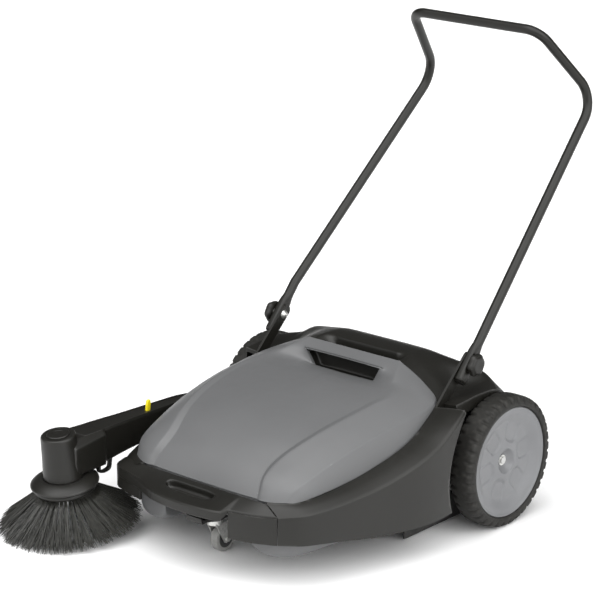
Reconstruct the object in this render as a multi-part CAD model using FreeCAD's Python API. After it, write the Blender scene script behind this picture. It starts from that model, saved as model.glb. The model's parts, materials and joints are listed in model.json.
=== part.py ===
import FreeCAD, Part
import math
import os

# Walk behind sweeper, millimetres. X = 0 is the middle of the body, +X the machine's left, -Y forward,
# Y = 0 the wheel axle line and Z = 0 the floor.

os.makedirs("parts", exist_ok=True)

# ---- driving dimensions ----
RUN_GAP = 0.05            # radial clearance of a running fit
GAP = 0.2                 # clearance between fixed neighbours
PRESS_GAP = 0.02          # radial clearance of a pressed fit
WALL = 4.0                # moulded wall thickness

WHEEL_Z = 148.0
TYRE_R = 148.0
RIM_R = 124.5
WHEEL_IN = 306.0
WHEEL_OUT = 366.0
AXLE_R = 8.0
HUB_FACE = 340.0
GEAR_MODULE = 3.0
GEAR_TEETH = 60
PINION_TEETH = 15
GEAR_X = 280.0
GEAR_W = 19.0
PRESSURE_ANGLE = math.radians(20)

CENTRE_DISTANCE = GEAR_MODULE * (GEAR_TEETH + PINION_TEETH) / 2
ROLLER_Y = -110.0
ROLLER_Z = WHEEL_Z - math.sqrt(CENTRE_DISTANCE ** 2 - ROLLER_Y ** 2)
ROLLER_R = 123.5
ROLLER_HALF = 236.0
ROLLER_CORE_R = 30.0
ROLLER_SHAFT_R = 8.0
ROLLER_TUFT_ROWS = 9
ROLLER_TUFT = 6.0
ROLLER_BACKING_R = 33.0
ROOF_R = 132.0
BEARING_R = 16.0

FRAME_IN = 250.0
FRAME_OUT = 256.0

JACK_Y = -215.0
JACK_Z = 190.0
JACK_R = 5.0
JACK_BUSH_R = 9.0
PULLEY_R = 20.0
BELT_R = 2.4
BELT_GROOVE_R = 3.7
DRIVE_BELT_X = -268.0
ARM_PULLEY_X = -341.0
ARM_PULLEY_R = 11.0

TILT = math.radians(8)
BRUSH_X = -352.0
BRUSH_Y = -640.0
BRUSH_AXIS = FreeCAD.Vector(0, -math.sin(TILT), math.cos(TILT))
BRUSH_FLOOR = FreeCAD.Vector(BRUSH_X, BRUSH_Y, 0)
BRISTLE_R = 142.0
BRISTLE_TOP_R = 60.0
BRISTLE_TOP = 101.0
SPINDLE_R = 6.0
SPINDLE_PULLEY_R = 22.0
SPINDLE_PULLEY_H = 172.0
DRUM_LOW = 128.0
ARM_LOW = 140.0

ARM_TOP = 218.0
ARM_INNER_X = -320.0
ARM_PIVOT_FACE = 319.5
ARM_OUTER_X = -357.0
LEVER_Y = -410.0
LEVER_Z = 206.0
LEVER_X = -338.0
LEVER_PIN_R = 2.5

KNOB_Y = -38.0
KNOB_Z = 366.0
BOLT_R = 4.0
BRACKET_IN = 259.0
BRACKET_OUT = 265.0
BRACKET_BOLT_YS = (-165.0, -130.0)
BRACKET_BOLT_Z = 236.0
BRACKET_BOLT_R = 3.0
BLADE_IN = 265.5
BLADE_OUT = 281.5
TUBE_R = 11.0
TUBE_BORE_R = 9.4
HANDLE_ELBOW = FreeCAD.Vector(273.5, 16, 429)
HANDLE_BEND = FreeCAD.Vector(229, 471.5, 860)
HANDLE_TOP = FreeCAD.Vector(179, 320.5, 1029)

CASTER_X = -18.0
CASTER_Y = -537.0
CASTER_TRAIL = 24.0
CASTER_R = 30.0
CASTER_PLATE_Z = 88.0

BIN_FLOOR_Z = 30.0
KNOB_OUT = 303.0
KNOB_R = 25.0
KNOB_LOBE_R = 6.5
GRIP_HALF = 105.0
GRIP_FRONT_Y = -184.0
GRIP_REAR_Y = -139.0

X_AXIS = FreeCAD.Vector(1, 0, 0)
Y_AXIS = FreeCAD.Vector(0, 1, 0)
Z_AXIS = FreeCAD.Vector(0, 0, 1)


# ---- helpers ----
def save(name, *shapes):
    shape = shapes[0] if len(shapes) == 1 else Part.makeCompound(list(shapes))
    shape.exportStep("parts/" + name + ".step")


def mirrored(shape):
    return shape.mirror(FreeCAD.Vector(0, 0, 0), X_AXIS)


def save_pair(name, shape):
    save(name, shape, mirrored(shape))


def box(low, high):
    size = [b - a for a, b in zip(low, high)]
    return Part.makeBox(size[0], size[1], size[2], FreeCAD.Vector(*low))


def rod(x0, x1, y, z, radius):
    return Part.makeCylinder(radius, x1 - x0, FreeCAD.Vector(x0, y, z), X_AXIS)


def sleeve(x0, x1, y, z, outer, inner):
    return rod(x0, x1, y, z, outer).cut(rod(x0, x1, y, z, inner))


def column(x, y, z0, z1, radius):
    return Part.makeCylinder(radius, z1 - z0, FreeCAD.Vector(x, y, z0), Z_AXIS)


def plan_prism(points, z0, z1):
    wire = Part.makePolygon([FreeCAD.Vector(x, y, z0) for x, y in points + points[:1]])
    return Part.Face(wire).extrude(FreeCAD.Vector(0, 0, z1 - z0))


def side_prism(points, x0, x1):
    wire = Part.makePolygon([FreeCAD.Vector(x0, y, z) for y, z in points + points[:1]])
    return Part.Face(wire).extrude(FreeCAD.Vector(x1 - x0, 0, 0))


def cross_loft(stations):
    """Closed solid through polygons that each lie in a plane of constant y: (y, [(x, z), ...])."""
    wires = []
    for y, points in stations:
        wires.append(Part.makePolygon([FreeCAD.Vector(x, y, z) for x, z in points + points[:1]]))
    return Part.makeLoft(wires, True, True)


def join(shapes):
    body = shapes[0].fuse(shapes[1:])
    return body.removeSplitter()


def on_brush_axis(height):
    return BRUSH_FLOOR + BRUSH_AXIS * height


def brush_rod(h0, h1, radius):
    return Part.makeCylinder(radius, h1 - h0, on_brush_axis(h0), BRUSH_AXIS)


def brush_cone(h0, h1, r0, r1):
    return Part.makeCone(r0, r1, h1 - h0, on_brush_axis(h0), BRUSH_AXIS)


def strap(points, half_width, x0, x1):
    """Flat bar of round-ended stretches through (y, z) points, between two x planes."""
    pieces = []
    for (ya, za), (yb, zb) in zip(points, points[1:]):
        length = math.hypot(yb - ya, zb - za)
        ny = -(zb - za) / length * half_width
        nz = (yb - ya) / length * half_width
        outline = [(ya + ny, za + nz), (yb + ny, zb + nz), (yb - ny, zb - nz), (ya - ny, za - nz)]
        pieces.append(side_prism(outline, x0, x1))
    for y, z in points:
        pieces.append(rod(x0, x1, y, z, half_width))
    return join(pieces)


# ---- gears, pulleys and belts ----
def involute_angle(radius, base):
    if radius <= base:
        return 0.0
    t = math.sqrt((radius / base) ** 2 - 1)
    return t - math.atan(t)


def spur_gear(teeth, x0, x1, y, z, turn):
    """Spur gear about an axle along X, with a tooth centred at the angle turn in the YZ plane."""
    backlash = 0.12
    pitch_r = GEAR_MODULE * teeth / 2
    base_r = pitch_r * math.cos(PRESSURE_ANGLE)
    tip_r = pitch_r + GEAR_MODULE
    root_r = pitch_r - 1.25 * GEAR_MODULE
    half_pitch = (math.pi / teeth - backlash / pitch_r) / 2
    start_r = max(base_r, root_r + 0.3)
    steps = 4
    flank = []
    for i in range(steps + 1):
        r = start_r + (tip_r - start_r) * i / steps
        offset = half_pitch + involute_angle(pitch_r, base_r) - involute_angle(r, base_r)
        flank.append((r, offset))
    points = []
    for tooth in range(teeth):
        centre = turn + 2 * math.pi * tooth / teeth
        points.append((root_r, centre - flank[0][1]))
        for r, offset in flank:
            points.append((r, centre - offset))
        for r, offset in reversed(flank):
            points.append((r, centre + offset))
        points.append((root_r, centre + flank[0][1]))
    outline = [(y + r * math.cos(a), z + r * math.sin(a)) for r, a in points]
    return side_prism(outline, x0, x1)


def pulley(x0, x1, y, z, belt_line_r, bore_r):
    disc = sleeve(x0, x1, y, z, belt_line_r + 1, bore_r)
    centre = FreeCAD.Vector((x0 + x1) / 2, y, z)
    groove = Part.makeTorus(belt_line_r, BELT_GROOVE_R, centre, X_AXIS)
    return disc.cut(groove)


def round_belt(edges):
    path = Part.Wire(Part.__sortEdges__(edges))
    first = path.Edges[0]
    start = first.valueAt(first.FirstParameter)
    ahead = first.tangentAt(first.FirstParameter)
    ring = Part.Wire(Part.makeCircle(BELT_R, start, ahead))
    return path.makePipeShell([ring], True, False)


# ---- chassis ----
def frame_wall():
    """Inner side wall, which carries an axle, a roller bearing and a handle bracket."""
    outline = [(-530, 106), (-530, 150), (-400, 178), (-245, 216), (-180, 246), (-116, 262),
               (-60, 285), (40, 285), (87, 250), (128, 190), (146, 130), (146, 62), (-60, 62), (-200, 74),
               (-322, 90), (-340, 106)]
    wall = side_prism(outline, FRAME_IN, FRAME_OUT)
    for y in BRACKET_BOLT_YS:
        wall = wall.fuse(rod(FRAME_OUT, BRACKET_IN - GAP, y, BRACKET_BOLT_Z, 8))
    for y in BRACKET_BOLT_YS:
        wall = wall.cut(rod(FRAME_IN - 1, BRACKET_IN + 1, y, BRACKET_BOLT_Z, BRACKET_BOLT_R + 0.1))
    wall = wall.fuse(rod(FRAME_IN - 6, FRAME_OUT + 4, 0, WHEEL_Z, 24))
    wall = wall.cut(rod(FRAME_IN - 9, FRAME_OUT + 9, 0, WHEEL_Z, AXLE_R + GAP))
    wall = wall.fuse(rod(FRAME_IN - 6, FRAME_OUT, ROLLER_Y, ROLLER_Z, 22))
    return wall.cut(rod(FRAME_IN - 9, FRAME_OUT + 9, ROLLER_Y, ROLLER_Z, BEARING_R))


def roller_roof():
    """Arched roof over the roller, open at the front towards the bin and below towards the floor."""
    arch = sleeve(-FRAME_IN, FRAME_IN, ROLLER_Y, ROLLER_Z, ROOF_R + WALL, ROOF_R)
    low = ROLLER_Z - 200
    open_side = [(ROLLER_Y + 200, low), (ROLLER_Y + 200, ROLLER_Z - 45), (ROLLER_Y, ROLLER_Z),
                 (ROLLER_Y - 130, ROLLER_Z + 150), (ROLLER_Y - 300, ROLLER_Z + 150),
                 (ROLLER_Y - 300, low)]
    return arch.cut(side_prism(open_side, -FRAME_IN - 1, FRAME_IN + 1))


def chassis_frame():
    left = frame_wall()
    right = mirrored(left)
    jack_hole = rod(-FRAME_OUT - 1, -FRAME_IN + 1, JACK_Y, JACK_Z, JACK_BUSH_R)
    back = box((-FRAME_IN, 138, 62), (FRAME_IN, 142, 132))
    rib = box((-FRAME_IN, 24, 62), (FRAME_IN, 28, 96))
    floor = box((-FRAME_IN, 28, 62), (FRAME_IN, 138, 66))
    return join([left, right.cut(jack_hole), roller_roof(), back, rib, floor])


def side_section(inner, outer, bottom):
    (xi, zi), (xo, zo) = inner, outer
    t = WALL
    return [(xi, zi), (xo, zo), (xo, bottom), (xo - t, bottom), (xo - t, zo - t - 1), (xi, zi - t)]


def wheel_arch_cut():
    return rod(FRAME_OUT + 3, 420, 0, WHEEL_Z, 196)


def side_panel_left():
    """Sloping deck beside the bin with the outer wall below it, cut back round the wheel."""
    panel = cross_loft([
        (-552, side_section((235, 178), (261, 165), 100)),
        (-400, side_section((265, 197), (310, 183), 90)),
        (-275, side_section((289, 231), (342, 220), 78)),
        (-190, side_section((277, 257), (345, 264), 80)),
        (-132, side_section((265, 285), (340, 293), 80)),
    ])
    panel = panel.cut(wheel_arch_cut())
    return panel.cut(box((256, -184, 200), (288, -60, 330)))


def side_panel_right():
    """The narrower right panel, which leaves room for the side brush arm and holds its pivot boss."""
    panel = cross_loft([
        (-552, side_section((235, 178), (261, 165), 100)),
        (-400, side_section((265, 197), (304, 183), 90)),
        (-275, side_section((282, 226), (306, 205), 78)),
        (-190, side_section((277, 250), (306, 222), 80)),
        (-132, side_section((265, 276), (306, 248), 80)),
    ])
    panel = panel.cut(wheel_arch_cut())
    panel = mirrored(panel.cut(box((256, -184, 200), (288, -60, 330))))
    boss = rod(-ARM_PIVOT_FACE, -300, JACK_Y, JACK_Z, 15)
    panel = panel.fuse(boss)
    return panel.cut(rod(-ARM_PIVOT_FACE - 1, -290, JACK_Y, JACK_Z, JACK_BUSH_R))


def front_bar():
    """Carry bar and ledge across the nose, with a finger recess, and the tongue that holds the caster."""
    outline = [(-257, -554), (-243, -591.5), (-197.5, -608), (-151, -619), (-151, -628), (-130, -641),
               (-105, -652), (-79, -660), (-52, -665), (-26, -667.3), (0, -668), (26, -667.3), (52, -665),
               (79, -660), (104, -653), (108, -624), (178, -606), (248, -554), (236, -554),
               (155, -597), (-155, -597), (-236, -554)]
    ledge = plan_prism(outline, 140, 160)
    apron = side_prism([(-597, 160), (-611, 160), (-601, 178), (-597, 178)], -150, 150)
    recess = plan_prism([(-78, -606), (-92, -632), (60, -632), (48, -606)], 139, 179)
    tongue = box((CASTER_X - 34, CASTER_Y - 28, CASTER_PLATE_Z + 2.7), (CASTER_X + 34, CASTER_Y + 28, 97))
    web = box((CASTER_X - 22, -602, CASTER_PLATE_Z + 2.7), (CASTER_X + 22, -598, 141))
    floor = box((CASTER_X - 22, -602, CASTER_PLATE_Z + 2.7), (CASTER_X + 22, CASTER_Y - 28, 97))
    body = join([ledge.fuse(apron).cut(recess), tongue, web, floor])
    for x, y in caster_screw_points():
        body = body.cut(column(x, y, CASTER_PLATE_Z, 98, 2.6))
    return body


def front_skirt_left():
    plan = [(110, -632), (181, -615), (260, -554.5), (252, -554.5), (178.5, -609), (110, -626)]
    return plan_prism(plan, 100, 164)


def front_skirt_right():
    """Squarer corner than on the left: it stands forward beside the side brush arm."""
    plan = [(-152, -627), (-200, -615.5), (-238, -604), (-250, -597), (-257, -585), (-266, -554.5),
            (-258, -554.5), (-250, -583), (-244, -593), (-234, -598), (-198, -609.5), (-152, -620)]
    return plan_prism(plan, 114, 164)


HOOD_STATIONS = [
    (-93, 256, [(304, 300), (285, 301), (262, 302), (190, 326), (125, 353)]),
    (-19, 256, [(304, 303), (285, 305), (262, 306), (208, 334), (117, 357)]),
    (30, 256, [(303, 297), (288, 328), (240, 338), (198, 336), (110, 350)]),
    (87, 225, [(296, 262), (282, 268), (240, 280), (190, 292), (105, 303)]),
    (130, 120, [(282, 190), (268, 198), (225, 215), (180, 225), (100, 232)]),
    (160, 66, [(266, 118), (255, 123), (215, 133), (170, 138), (100, 140)]),
]


def hood_solid(inset):
    stations = []
    last = len(HOOD_STATIONS) - 1
    for i, (y, bottom, half) in enumerate(HOOD_STATIONS):
        shift = -inset if i == last else inset if i == 0 else 0
        right = [(x - inset, z - inset) for x, z in half]
        base = bottom - (1 if inset else 0)
        left = [(-x, z) for x, z in reversed(right)]
        stations.append((y + shift, [(right[0][0], base)] + right + left + [(-right[0][0], base)]))
    return cross_loft(stations)


def rear_hood():
    hood = hood_solid(0).cut(hood_solid(WALL))
    recess = box((-74, -96, 322), (92, -44, 360))
    pocket = box((-78, -92.8, 318), (96, -40, 360))
    hood = hood.fuse(pocket.common(hood_solid(0))).cut(recess)
    hood = hood.cut(box((-257, -94, 250), (257, -88, 276)))
    for side in (-1, 1):
        slot = box((257 if side > 0 else -290, -100, 250), (290 if side > 0 else -257, -50, 340))
        hood = hood.cut(slot)
    return hood.removeSplitter()


def stub_axle():
    shaft = rod(238, HUB_FACE + 5, 0, WHEEL_Z, AXLE_R)
    flange = rod(238, FRAME_IN - 6 - GAP, 0, WHEEL_Z, 18)
    groove = sleeve(HUB_FACE + 0.4, HUB_FACE + 1.6, 0, WHEEL_Z, AXLE_R + 1, AXLE_R - 1)
    return shaft.fuse(flange).cut(groove)


def roller_bearing():
    outer = BEARING_R - PRESS_GAP
    return sleeve(FRAME_IN - 6, FRAME_OUT, ROLLER_Y, ROLLER_Z, outer, ROLLER_SHAFT_R + RUN_GAP)


def jack_bush(x0, x1):
    return sleeve(x0, x1, JACK_Y, JACK_Z, JACK_BUSH_R - PRESS_GAP, JACK_R + RUN_GAP)


def handle_bracket():
    bar = strap([(-30, 374), (-112, 296), (-148, 262)], 13, BRACKET_IN, BRACKET_OUT)
    foot = side_prism([(-176, 226), (-120, 226), (-120, 262), (-176, 262)], BRACKET_IN, BRACKET_OUT)
    bar = bar.fuse(foot)
    bar = bar.cut(rod(BRACKET_IN - 1, BRACKET_OUT + 1, KNOB_Y, KNOB_Z, BOLT_R + PRESS_GAP))
    for y in BRACKET_BOLT_YS:
        hole = rod(BRACKET_IN - 1, BRACKET_OUT + 1, y, BRACKET_BOLT_Z, BRACKET_BOLT_R + 0.1)
        bar = bar.cut(hole)
    return bar.removeSplitter()


def carriage_bolt():
    shank = rod(BRACKET_IN - 1, KNOB_OUT - 7, KNOB_Y, KNOB_Z, BOLT_R)
    dome = Part.makeSphere(12, FreeCAD.Vector(BRACKET_IN + 5.5, KNOB_Y, KNOB_Z))
    dome = dome.common(rod(BRACKET_IN - 7, BRACKET_IN - GAP, KNOB_Y, KNOB_Z, 12))
    return shank.fuse(dome)


def bracket_bolts():
    bolts = []
    for y in BRACKET_BOLT_YS:
        shank = rod(246, BRACKET_OUT + 1, y, BRACKET_BOLT_Z, BRACKET_BOLT_R)
        head = rod(BRACKET_OUT + GAP, BRACKET_OUT + 4, y, BRACKET_BOLT_Z, 5)
        bolts.append(shank.fuse(head))
    return bolts


def axle_retainer():
    return sleeve(HUB_FACE + 0.45, HUB_FACE + 1.55, 0, WHEEL_Z, 12, AXLE_R - 0.95)


def rear_seal():
    return box((-238, 20, 4), (238, 23.8, 94))


def side_seal():
    return box((243.5, -222, 5), (247.5, -4, 92)).cut(rod(243, 248, ROLLER_Y, ROLLER_Z, 40))


# ---- wheels ----
def wheel_profile(points):
    """Turned part about the wheel axle: points are (x, radius)."""
    wire = Part.makePolygon([FreeCAD.Vector(x, 0, WHEEL_Z + r) for x, r in points + points[:1]])
    return Part.Face(wire).revolve(FreeCAD.Vector(0, 0, WHEEL_Z), X_AXIS, 360)


def wheel_rim():
    bore = AXLE_R + RUN_GAP
    return wheel_profile([
        (300, bore), (300, 22), (338, 26), (342, 60), (348, 104), (346, 116), (309, 117), (308, 124.4),
        (361, 124.4), (363, 121), (358, 114), (350, 96), (349, 62), (353, 34), (351, 28), (344, 22),
        (HUB_FACE, 15), (HUB_FACE, bore),
    ])


def tyre():
    ring = wheel_profile([
        (WHEEL_IN, RIM_R), (WHEEL_IN, 138), (310, 144), (320, TYRE_R), (352, TYRE_R), (362, 144),
        (WHEEL_OUT, 138), (WHEEL_OUT, RIM_R),
    ])
    lugs = 36
    cuts = []
    for i in range(lugs):
        for x0, x1, offset in ((305, 317, 0.0), (355, 367, 0.5)):
            notch = box((x0, -3.2, WHEEL_Z + 143.5), (x1, 3.2, WHEEL_Z + 152))
            notch.rotate(FreeCAD.Vector(0, 0, WHEEL_Z), X_AXIS, 360.0 * (i + offset) / lugs)
            cuts.append(notch)
    return ring.cut(Part.makeCompound(cuts))


def mesh_turn():
    return math.atan2(ROLLER_Z - WHEEL_Z, ROLLER_Y)


def drive_gear():
    gear = spur_gear(GEAR_TEETH, GEAR_X, GEAR_X + GEAR_W, 0, WHEEL_Z, mesh_turn())
    web = sleeve(GEAR_X - 1, GEAR_X + 6, 0, WHEEL_Z, 78, 30)
    far_web = sleeve(GEAR_X + 12, GEAR_X + GEAR_W + 1, 0, WHEEL_Z, 78, 30)
    gear = gear.cut(web).cut(far_web)
    return gear.cut(rod(GEAR_X - 1, GEAR_X + GEAR_W + 1, 0, WHEEL_Z, AXLE_R + RUN_GAP))


# ---- roller ----
def pinion(bore):
    turn = mesh_turn() + math.pi + math.pi / PINION_TEETH
    gear = spur_gear(PINION_TEETH, GEAR_X + 1, GEAR_X + GEAR_W - 1, ROLLER_Y, ROLLER_Z, turn)
    return gear.cut(rod(GEAR_X, GEAR_X + GEAR_W, ROLLER_Y, ROLLER_Z, bore))


def roller_shaft():
    return rod(-299.5, 299.5, ROLLER_Y, ROLLER_Z, ROLLER_SHAFT_R)


def roller_core():
    bore = ROLLER_SHAFT_R + PRESS_GAP
    return sleeve(-ROLLER_HALF, ROLLER_HALF, ROLLER_Y, ROLLER_Z, ROLLER_CORE_R, bore)


def roller_bristles():
    """Backing tube with straight rows of tufts standing out of it."""
    half = ROLLER_HALF - 4
    backing = sleeve(-half, half, ROLLER_Y, ROLLER_Z, ROLLER_BACKING_R, ROLLER_CORE_R + 0.1)
    rows = []
    for i in range(ROLLER_TUFT_ROWS):
        low = (-half, ROLLER_Y - ROLLER_TUFT / 2, ROLLER_Z + ROLLER_CORE_R + 1)
        row = box(low, (half, ROLLER_Y + ROLLER_TUFT / 2, ROLLER_Z + ROLLER_R - 0.5))
        row.rotate(FreeCAD.Vector(0, ROLLER_Y, ROLLER_Z), X_AXIS, 360.0 * i / ROLLER_TUFT_ROWS)
        rows.append(row)
    return backing.fuse(rows)


def drive_belt():
    """Round belt in one plane round two pulleys of the same size."""
    a = FreeCAD.Vector(DRIVE_BELT_X, ROLLER_Y, ROLLER_Z)
    b = FreeCAD.Vector(DRIVE_BELT_X, JACK_Y, JACK_Z)
    along = (b - a).normalize()
    across = X_AXIS.cross(along)
    edges = [
        Part.makeLine(a + across * PULLEY_R, b + across * PULLEY_R),
        Part.Arc(b + across * PULLEY_R, b + along * PULLEY_R, b - across * PULLEY_R).toShape(),
        Part.makeLine(b - across * PULLEY_R, a - across * PULLEY_R),
        Part.Arc(a - across * PULLEY_R, a - along * PULLEY_R, a + across * PULLEY_R).toShape(),
    ]
    return round_belt(edges)


# ---- handle ----
def arc_corner(before, corner, after, radius):
    """Start, middle and end of the arc that rounds a corner of a path."""
    u = (before - corner).normalize()
    v = (after - corner).normalize()
    half = u.getAngle(v) / 2
    reach = radius / math.tan(half)
    middle_line = (u + v).normalize()
    centre = corner + middle_line * (radius / math.sin(half))
    return corner + u * reach, centre - middle_line * radius, corner + v * reach


def handle_path():
    mirror_x = [HANDLE_TOP, HANDLE_BEND, HANDLE_ELBOW]
    far = [FreeCAD.Vector(-p.x, p.y, p.z) for p in mirror_x]
    points = [HANDLE_ELBOW, HANDLE_BEND, HANDLE_TOP] + far
    radii = [0, 62, 45, 45, 62, 0]
    edges = []
    at = points[0]
    for i in range(1, len(points) - 1):
        start, middle, end = arc_corner(points[i - 1], points[i], points[i + 1], radii[i])
        edges.append(Part.makeLine(at, start))
        edges.append(Part.Arc(start, middle, end).toShape())
        at = end
    edges.append(Part.makeLine(at, points[-1]))
    return Part.Wire(edges)


def swept_tube(radius, path):
    start = HANDLE_ELBOW
    ring = Part.Wire(Part.makeCircle(radius, start, HANDLE_BEND - HANDLE_ELBOW))
    return path.makePipeShell([ring], True, False)


def blade_end():
    """Centre of the rounded lower end of the flattened leg."""
    away = FreeCAD.Vector(0, KNOB_Y - HANDLE_ELBOW.y, KNOB_Z - HANDLE_ELBOW.z).normalize()
    return KNOB_Y + away.y * 43, KNOB_Z + away.z * 43


def handle_tube():
    path = handle_path()
    tube = swept_tube(TUBE_R, path)
    blade = strap([(HANDLE_ELBOW.y, HANDLE_ELBOW.z), blade_end()], 13, BLADE_IN, BLADE_OUT)
    blade = blade.cut(rod(BLADE_IN - 1, BLADE_OUT + 1, KNOB_Y, KNOB_Z, BOLT_R + RUN_GAP))
    body = tube.fuse([blade, mirrored(blade)])
    bore = swept_tube(TUBE_BORE_R, path)
    end = box((100, 14, 420), (320, 60, 440))
    keep_solid = Part.makeCompound([end, mirrored(end)])
    return body.cut(bore.cut(keep_solid))


def end_plug():
    """Short plastic boot over the outer face of the leg's rounded lower end."""
    y, z = blade_end()
    return rod(BLADE_OUT + GAP, BLADE_OUT + 2.2, y, z, 13)


def clamp_knob():
    x0 = BLADE_OUT + 3
    reach = KNOB_R - KNOB_LOBE_R
    core = rod(x0, KNOB_OUT, KNOB_Y, KNOB_Z, KNOB_R - 4)
    lobes = 6
    for i in range(lobes):
        a = 2 * math.pi * i / lobes
        y = KNOB_Y + reach * math.cos(a)
        z = KNOB_Z + reach * math.sin(a)
        core = core.fuse(rod(x0 + 3, KNOB_OUT, y, z, KNOB_LOBE_R))
    return core.cut(rod(x0 - 1, KNOB_OUT - 6, KNOB_Y, KNOB_Z, BOLT_R + RUN_GAP))


def clamp_washer():
    return sleeve(BLADE_OUT + GAP, BLADE_OUT + 2.8, KNOB_Y, KNOB_Z, 11, BOLT_R + RUN_GAP)


# ---- waste bin ----
COVER_STATIONS = [
    (-590, [(150, 184), (146, 189), (120, 192)]),
    (-551, [(228, 184), (227, 206), (151.5, 236)]),
    (-482, [(243, 192), (243, 235), (150, 280)]),
    (-400, [(258, 203), (253, 252), (147, 304)]),
    (-300, [(272, 226), (260, 268), (142, 322)]),
    (-245, [(274, 243), (262, 279), (138, 329)]),
    (-165, [(262, 272), (261, 289), (131, 339)]),
    (-116, [(251, 288), (249, 291), (130, 349)]),
    (-99, [(226, 300), (224, 305), (130, 356)]),
]


def cover_solid(inset):
    stations = []
    last = len(COVER_STATIONS) - 1
    for i, (y, half) in enumerate(COVER_STATIONS):
        shift = inset if i == 0 else -inset if i == last else 0
        (xs, zs), (xc, zc), (xp, zp) = half
        if inset:
            floor_drop = 1
            right = [(xs - inset, zs - floor_drop), (xc - inset, zc - 1), (xp - 1.5, zp - inset)]
        else:
            right = half
        left = [(-x, z) for x, z in reversed(right)]
        stations.append((y + shift, right + left))
    return cross_loft(stations)


def bin_cover():
    cover = cover_solid(0).cut(cover_solid(WALL))
    return cover.cut(box((-GRIP_HALF, GRIP_FRONT_Y, 300), (GRIP_HALF, GRIP_REAR_Y, 370)))


def grip_tray():
    """Dark pocket under the grip slot, closed below so that sweepings stay in."""
    outer = box((-GRIP_HALF - 4, GRIP_FRONT_Y - 4, 296), (GRIP_HALF + 4, GRIP_REAR_Y + 4, 331.5))
    inner = box((-GRIP_HALF, GRIP_FRONT_Y, 299), (GRIP_HALF, GRIP_REAR_Y, 340))
    return outer.cut(inner)


TUB_PLAN = [(-225, -552), (-204, -568), (-150, -580), (150, -580), (204, -568), (225, -552), (240, -400),
            (240, -246), (-240, -246), (-240, -400)]
TUNNEL_HALF = 128.0
TUNNEL_REAR_Y = -474.0
TUNNEL_Z = 122.0


def tub_block(inset):
    """The tub's outer form, or its hollow when inset is the wall thickness."""
    plan = []
    for x, y in TUB_PLAN:
        plan.append((x - math.copysign(inset, x), y + inset if y < -420 else y))
    block = plan_prism(plan, BIN_FLOOR_Z + inset, 260)
    lift = 1 if inset else 0
    top = [(-584 + inset, 181 + lift), (-551, 181 + lift), (-400, 200 + lift),
           (-246 + 6 * lift, 239 + 2 * lift)]
    bottom = [(-246, BIN_FLOOR_Z), (-358, BIN_FLOOR_Z + 5), (-530, BIN_FLOOR_Z + 28),
              (-568, BIN_FLOOR_Z + 33)]
    profile = top + [(y, z + inset) for y, z in bottom] + [(-578 + inset, 82), (-584 + inset, 120)]
    block = block.common(side_prism(profile, -300, 300))
    half = TUNNEL_HALF + inset
    return block.cut(box((-half, -620, 0), (half, TUNNEL_REAR_Y + inset, TUNNEL_Z + inset)))


def bin_tub():
    tub = tub_block(0).cut(tub_block(WALL))
    throat = box((-236 + 4, -260, 66), (236 - 4, -240, 260))
    return tub.cut(throat)


def bin_seal():
    return box((-230, -245.5, 40), (230, -242.5, 64))


# ---- side brush arm ----
def arm_profile(inset):
    top = ARM_TOP - inset
    return [(-652 + inset, 196), (-640, top), (-200, top), (-186 - inset, 204), (-186 - inset, 172),
            (-200, 163 + inset), (-300, 157 + inset), (-480, 152 + inset), (-520, ARM_LOW + inset),
            (-652 + inset, ARM_LOW + inset)]


def arm_plan(inset):
    return [(ARM_INNER_X - inset, -186 - inset), (ARM_INNER_X - inset, -652 + inset),
            (-386 + inset, -652 + inset), (ARM_OUTER_X + inset, -300), (ARM_OUTER_X + inset, -186 - inset)]


def arm_block(inset, top_open):
    side = side_prism(arm_profile(inset), -420, -300)
    if top_open:
        side = side.fuse(side_prism([(-632, 190), (-632, 240), (-196, 240), (-196, 190)], -420, -300))
    return side.common(plan_prism(arm_plan(inset), 100, 260))


def arm_housing():
    """Hollow arm with the drum over the brush: the belt and both pulleys run inside it."""
    drum = brush_cone(DRUM_LOW, 228, 45, 38)
    body = arm_block(0, False).fuse(drum)
    body = body.cut(brush_rod(DRUM_LOW + 13, 196, 33))
    body = body.cut(arm_block(WALL, True).cut(brush_rod(90, 240, 40)))
    slot_to_drum = box((-384, -652, 146), (-324, -600, 196))
    body = body.cut(slot_to_drum.common(brush_rod(DRUM_LOW + 15, 194, 60)))
    body = body.cut(brush_rod(100, 240, 10))
    foot = box((-338, -574, ARM_LOW - 26), (-326, -536, ARM_LOW + 2))
    window = box((-340, -566, ARM_LOW - 19), (-324, -544, ARM_LOW - 7))
    body = body.fuse(foot.cut(window))
    pivot = rod(ARM_OUTER_X - 6, ARM_INNER_X + 1, JACK_Y, JACK_Z, JACK_R + 1)
    body = body.cut(pivot)
    return body.cut(rod(ARM_OUTER_X - 7, ARM_INNER_X - 1, LEVER_Y, LEVER_Z, LEVER_PIN_R + PRESS_GAP))


def arm_cover():
    strip = plan_prism([(ARM_INNER_X - WALL - GAP, -198), (ARM_INNER_X - WALL - GAP, -604),
                        (-372, -604), (ARM_OUTER_X + WALL + GAP, -300),
                        (ARM_OUTER_X + WALL + GAP, -198)], 213.4, 215.6)
    return strip.cut(box((LEVER_X - 6, LEVER_Y - 26, 205), (LEVER_X + 6, LEVER_Y + 26, 225)))


def lever():
    blade = side_prism([(LEVER_Y - 6, 200), (LEVER_Y + 6, 200), (LEVER_Y + 8, 212),
                        (LEVER_Y + 9, 238), (LEVER_Y - 3, 240), (LEVER_Y - 8, 212)],
                       LEVER_X - 4, LEVER_X + 4)
    return blade.cut(rod(LEVER_X - 5, LEVER_X + 5, LEVER_Y, LEVER_Z, LEVER_PIN_R + RUN_GAP))


def lever_pin():
    return rod(ARM_OUTER_X - 6.8, ARM_INNER_X - 1.2, LEVER_Y, LEVER_Z, LEVER_PIN_R)


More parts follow.
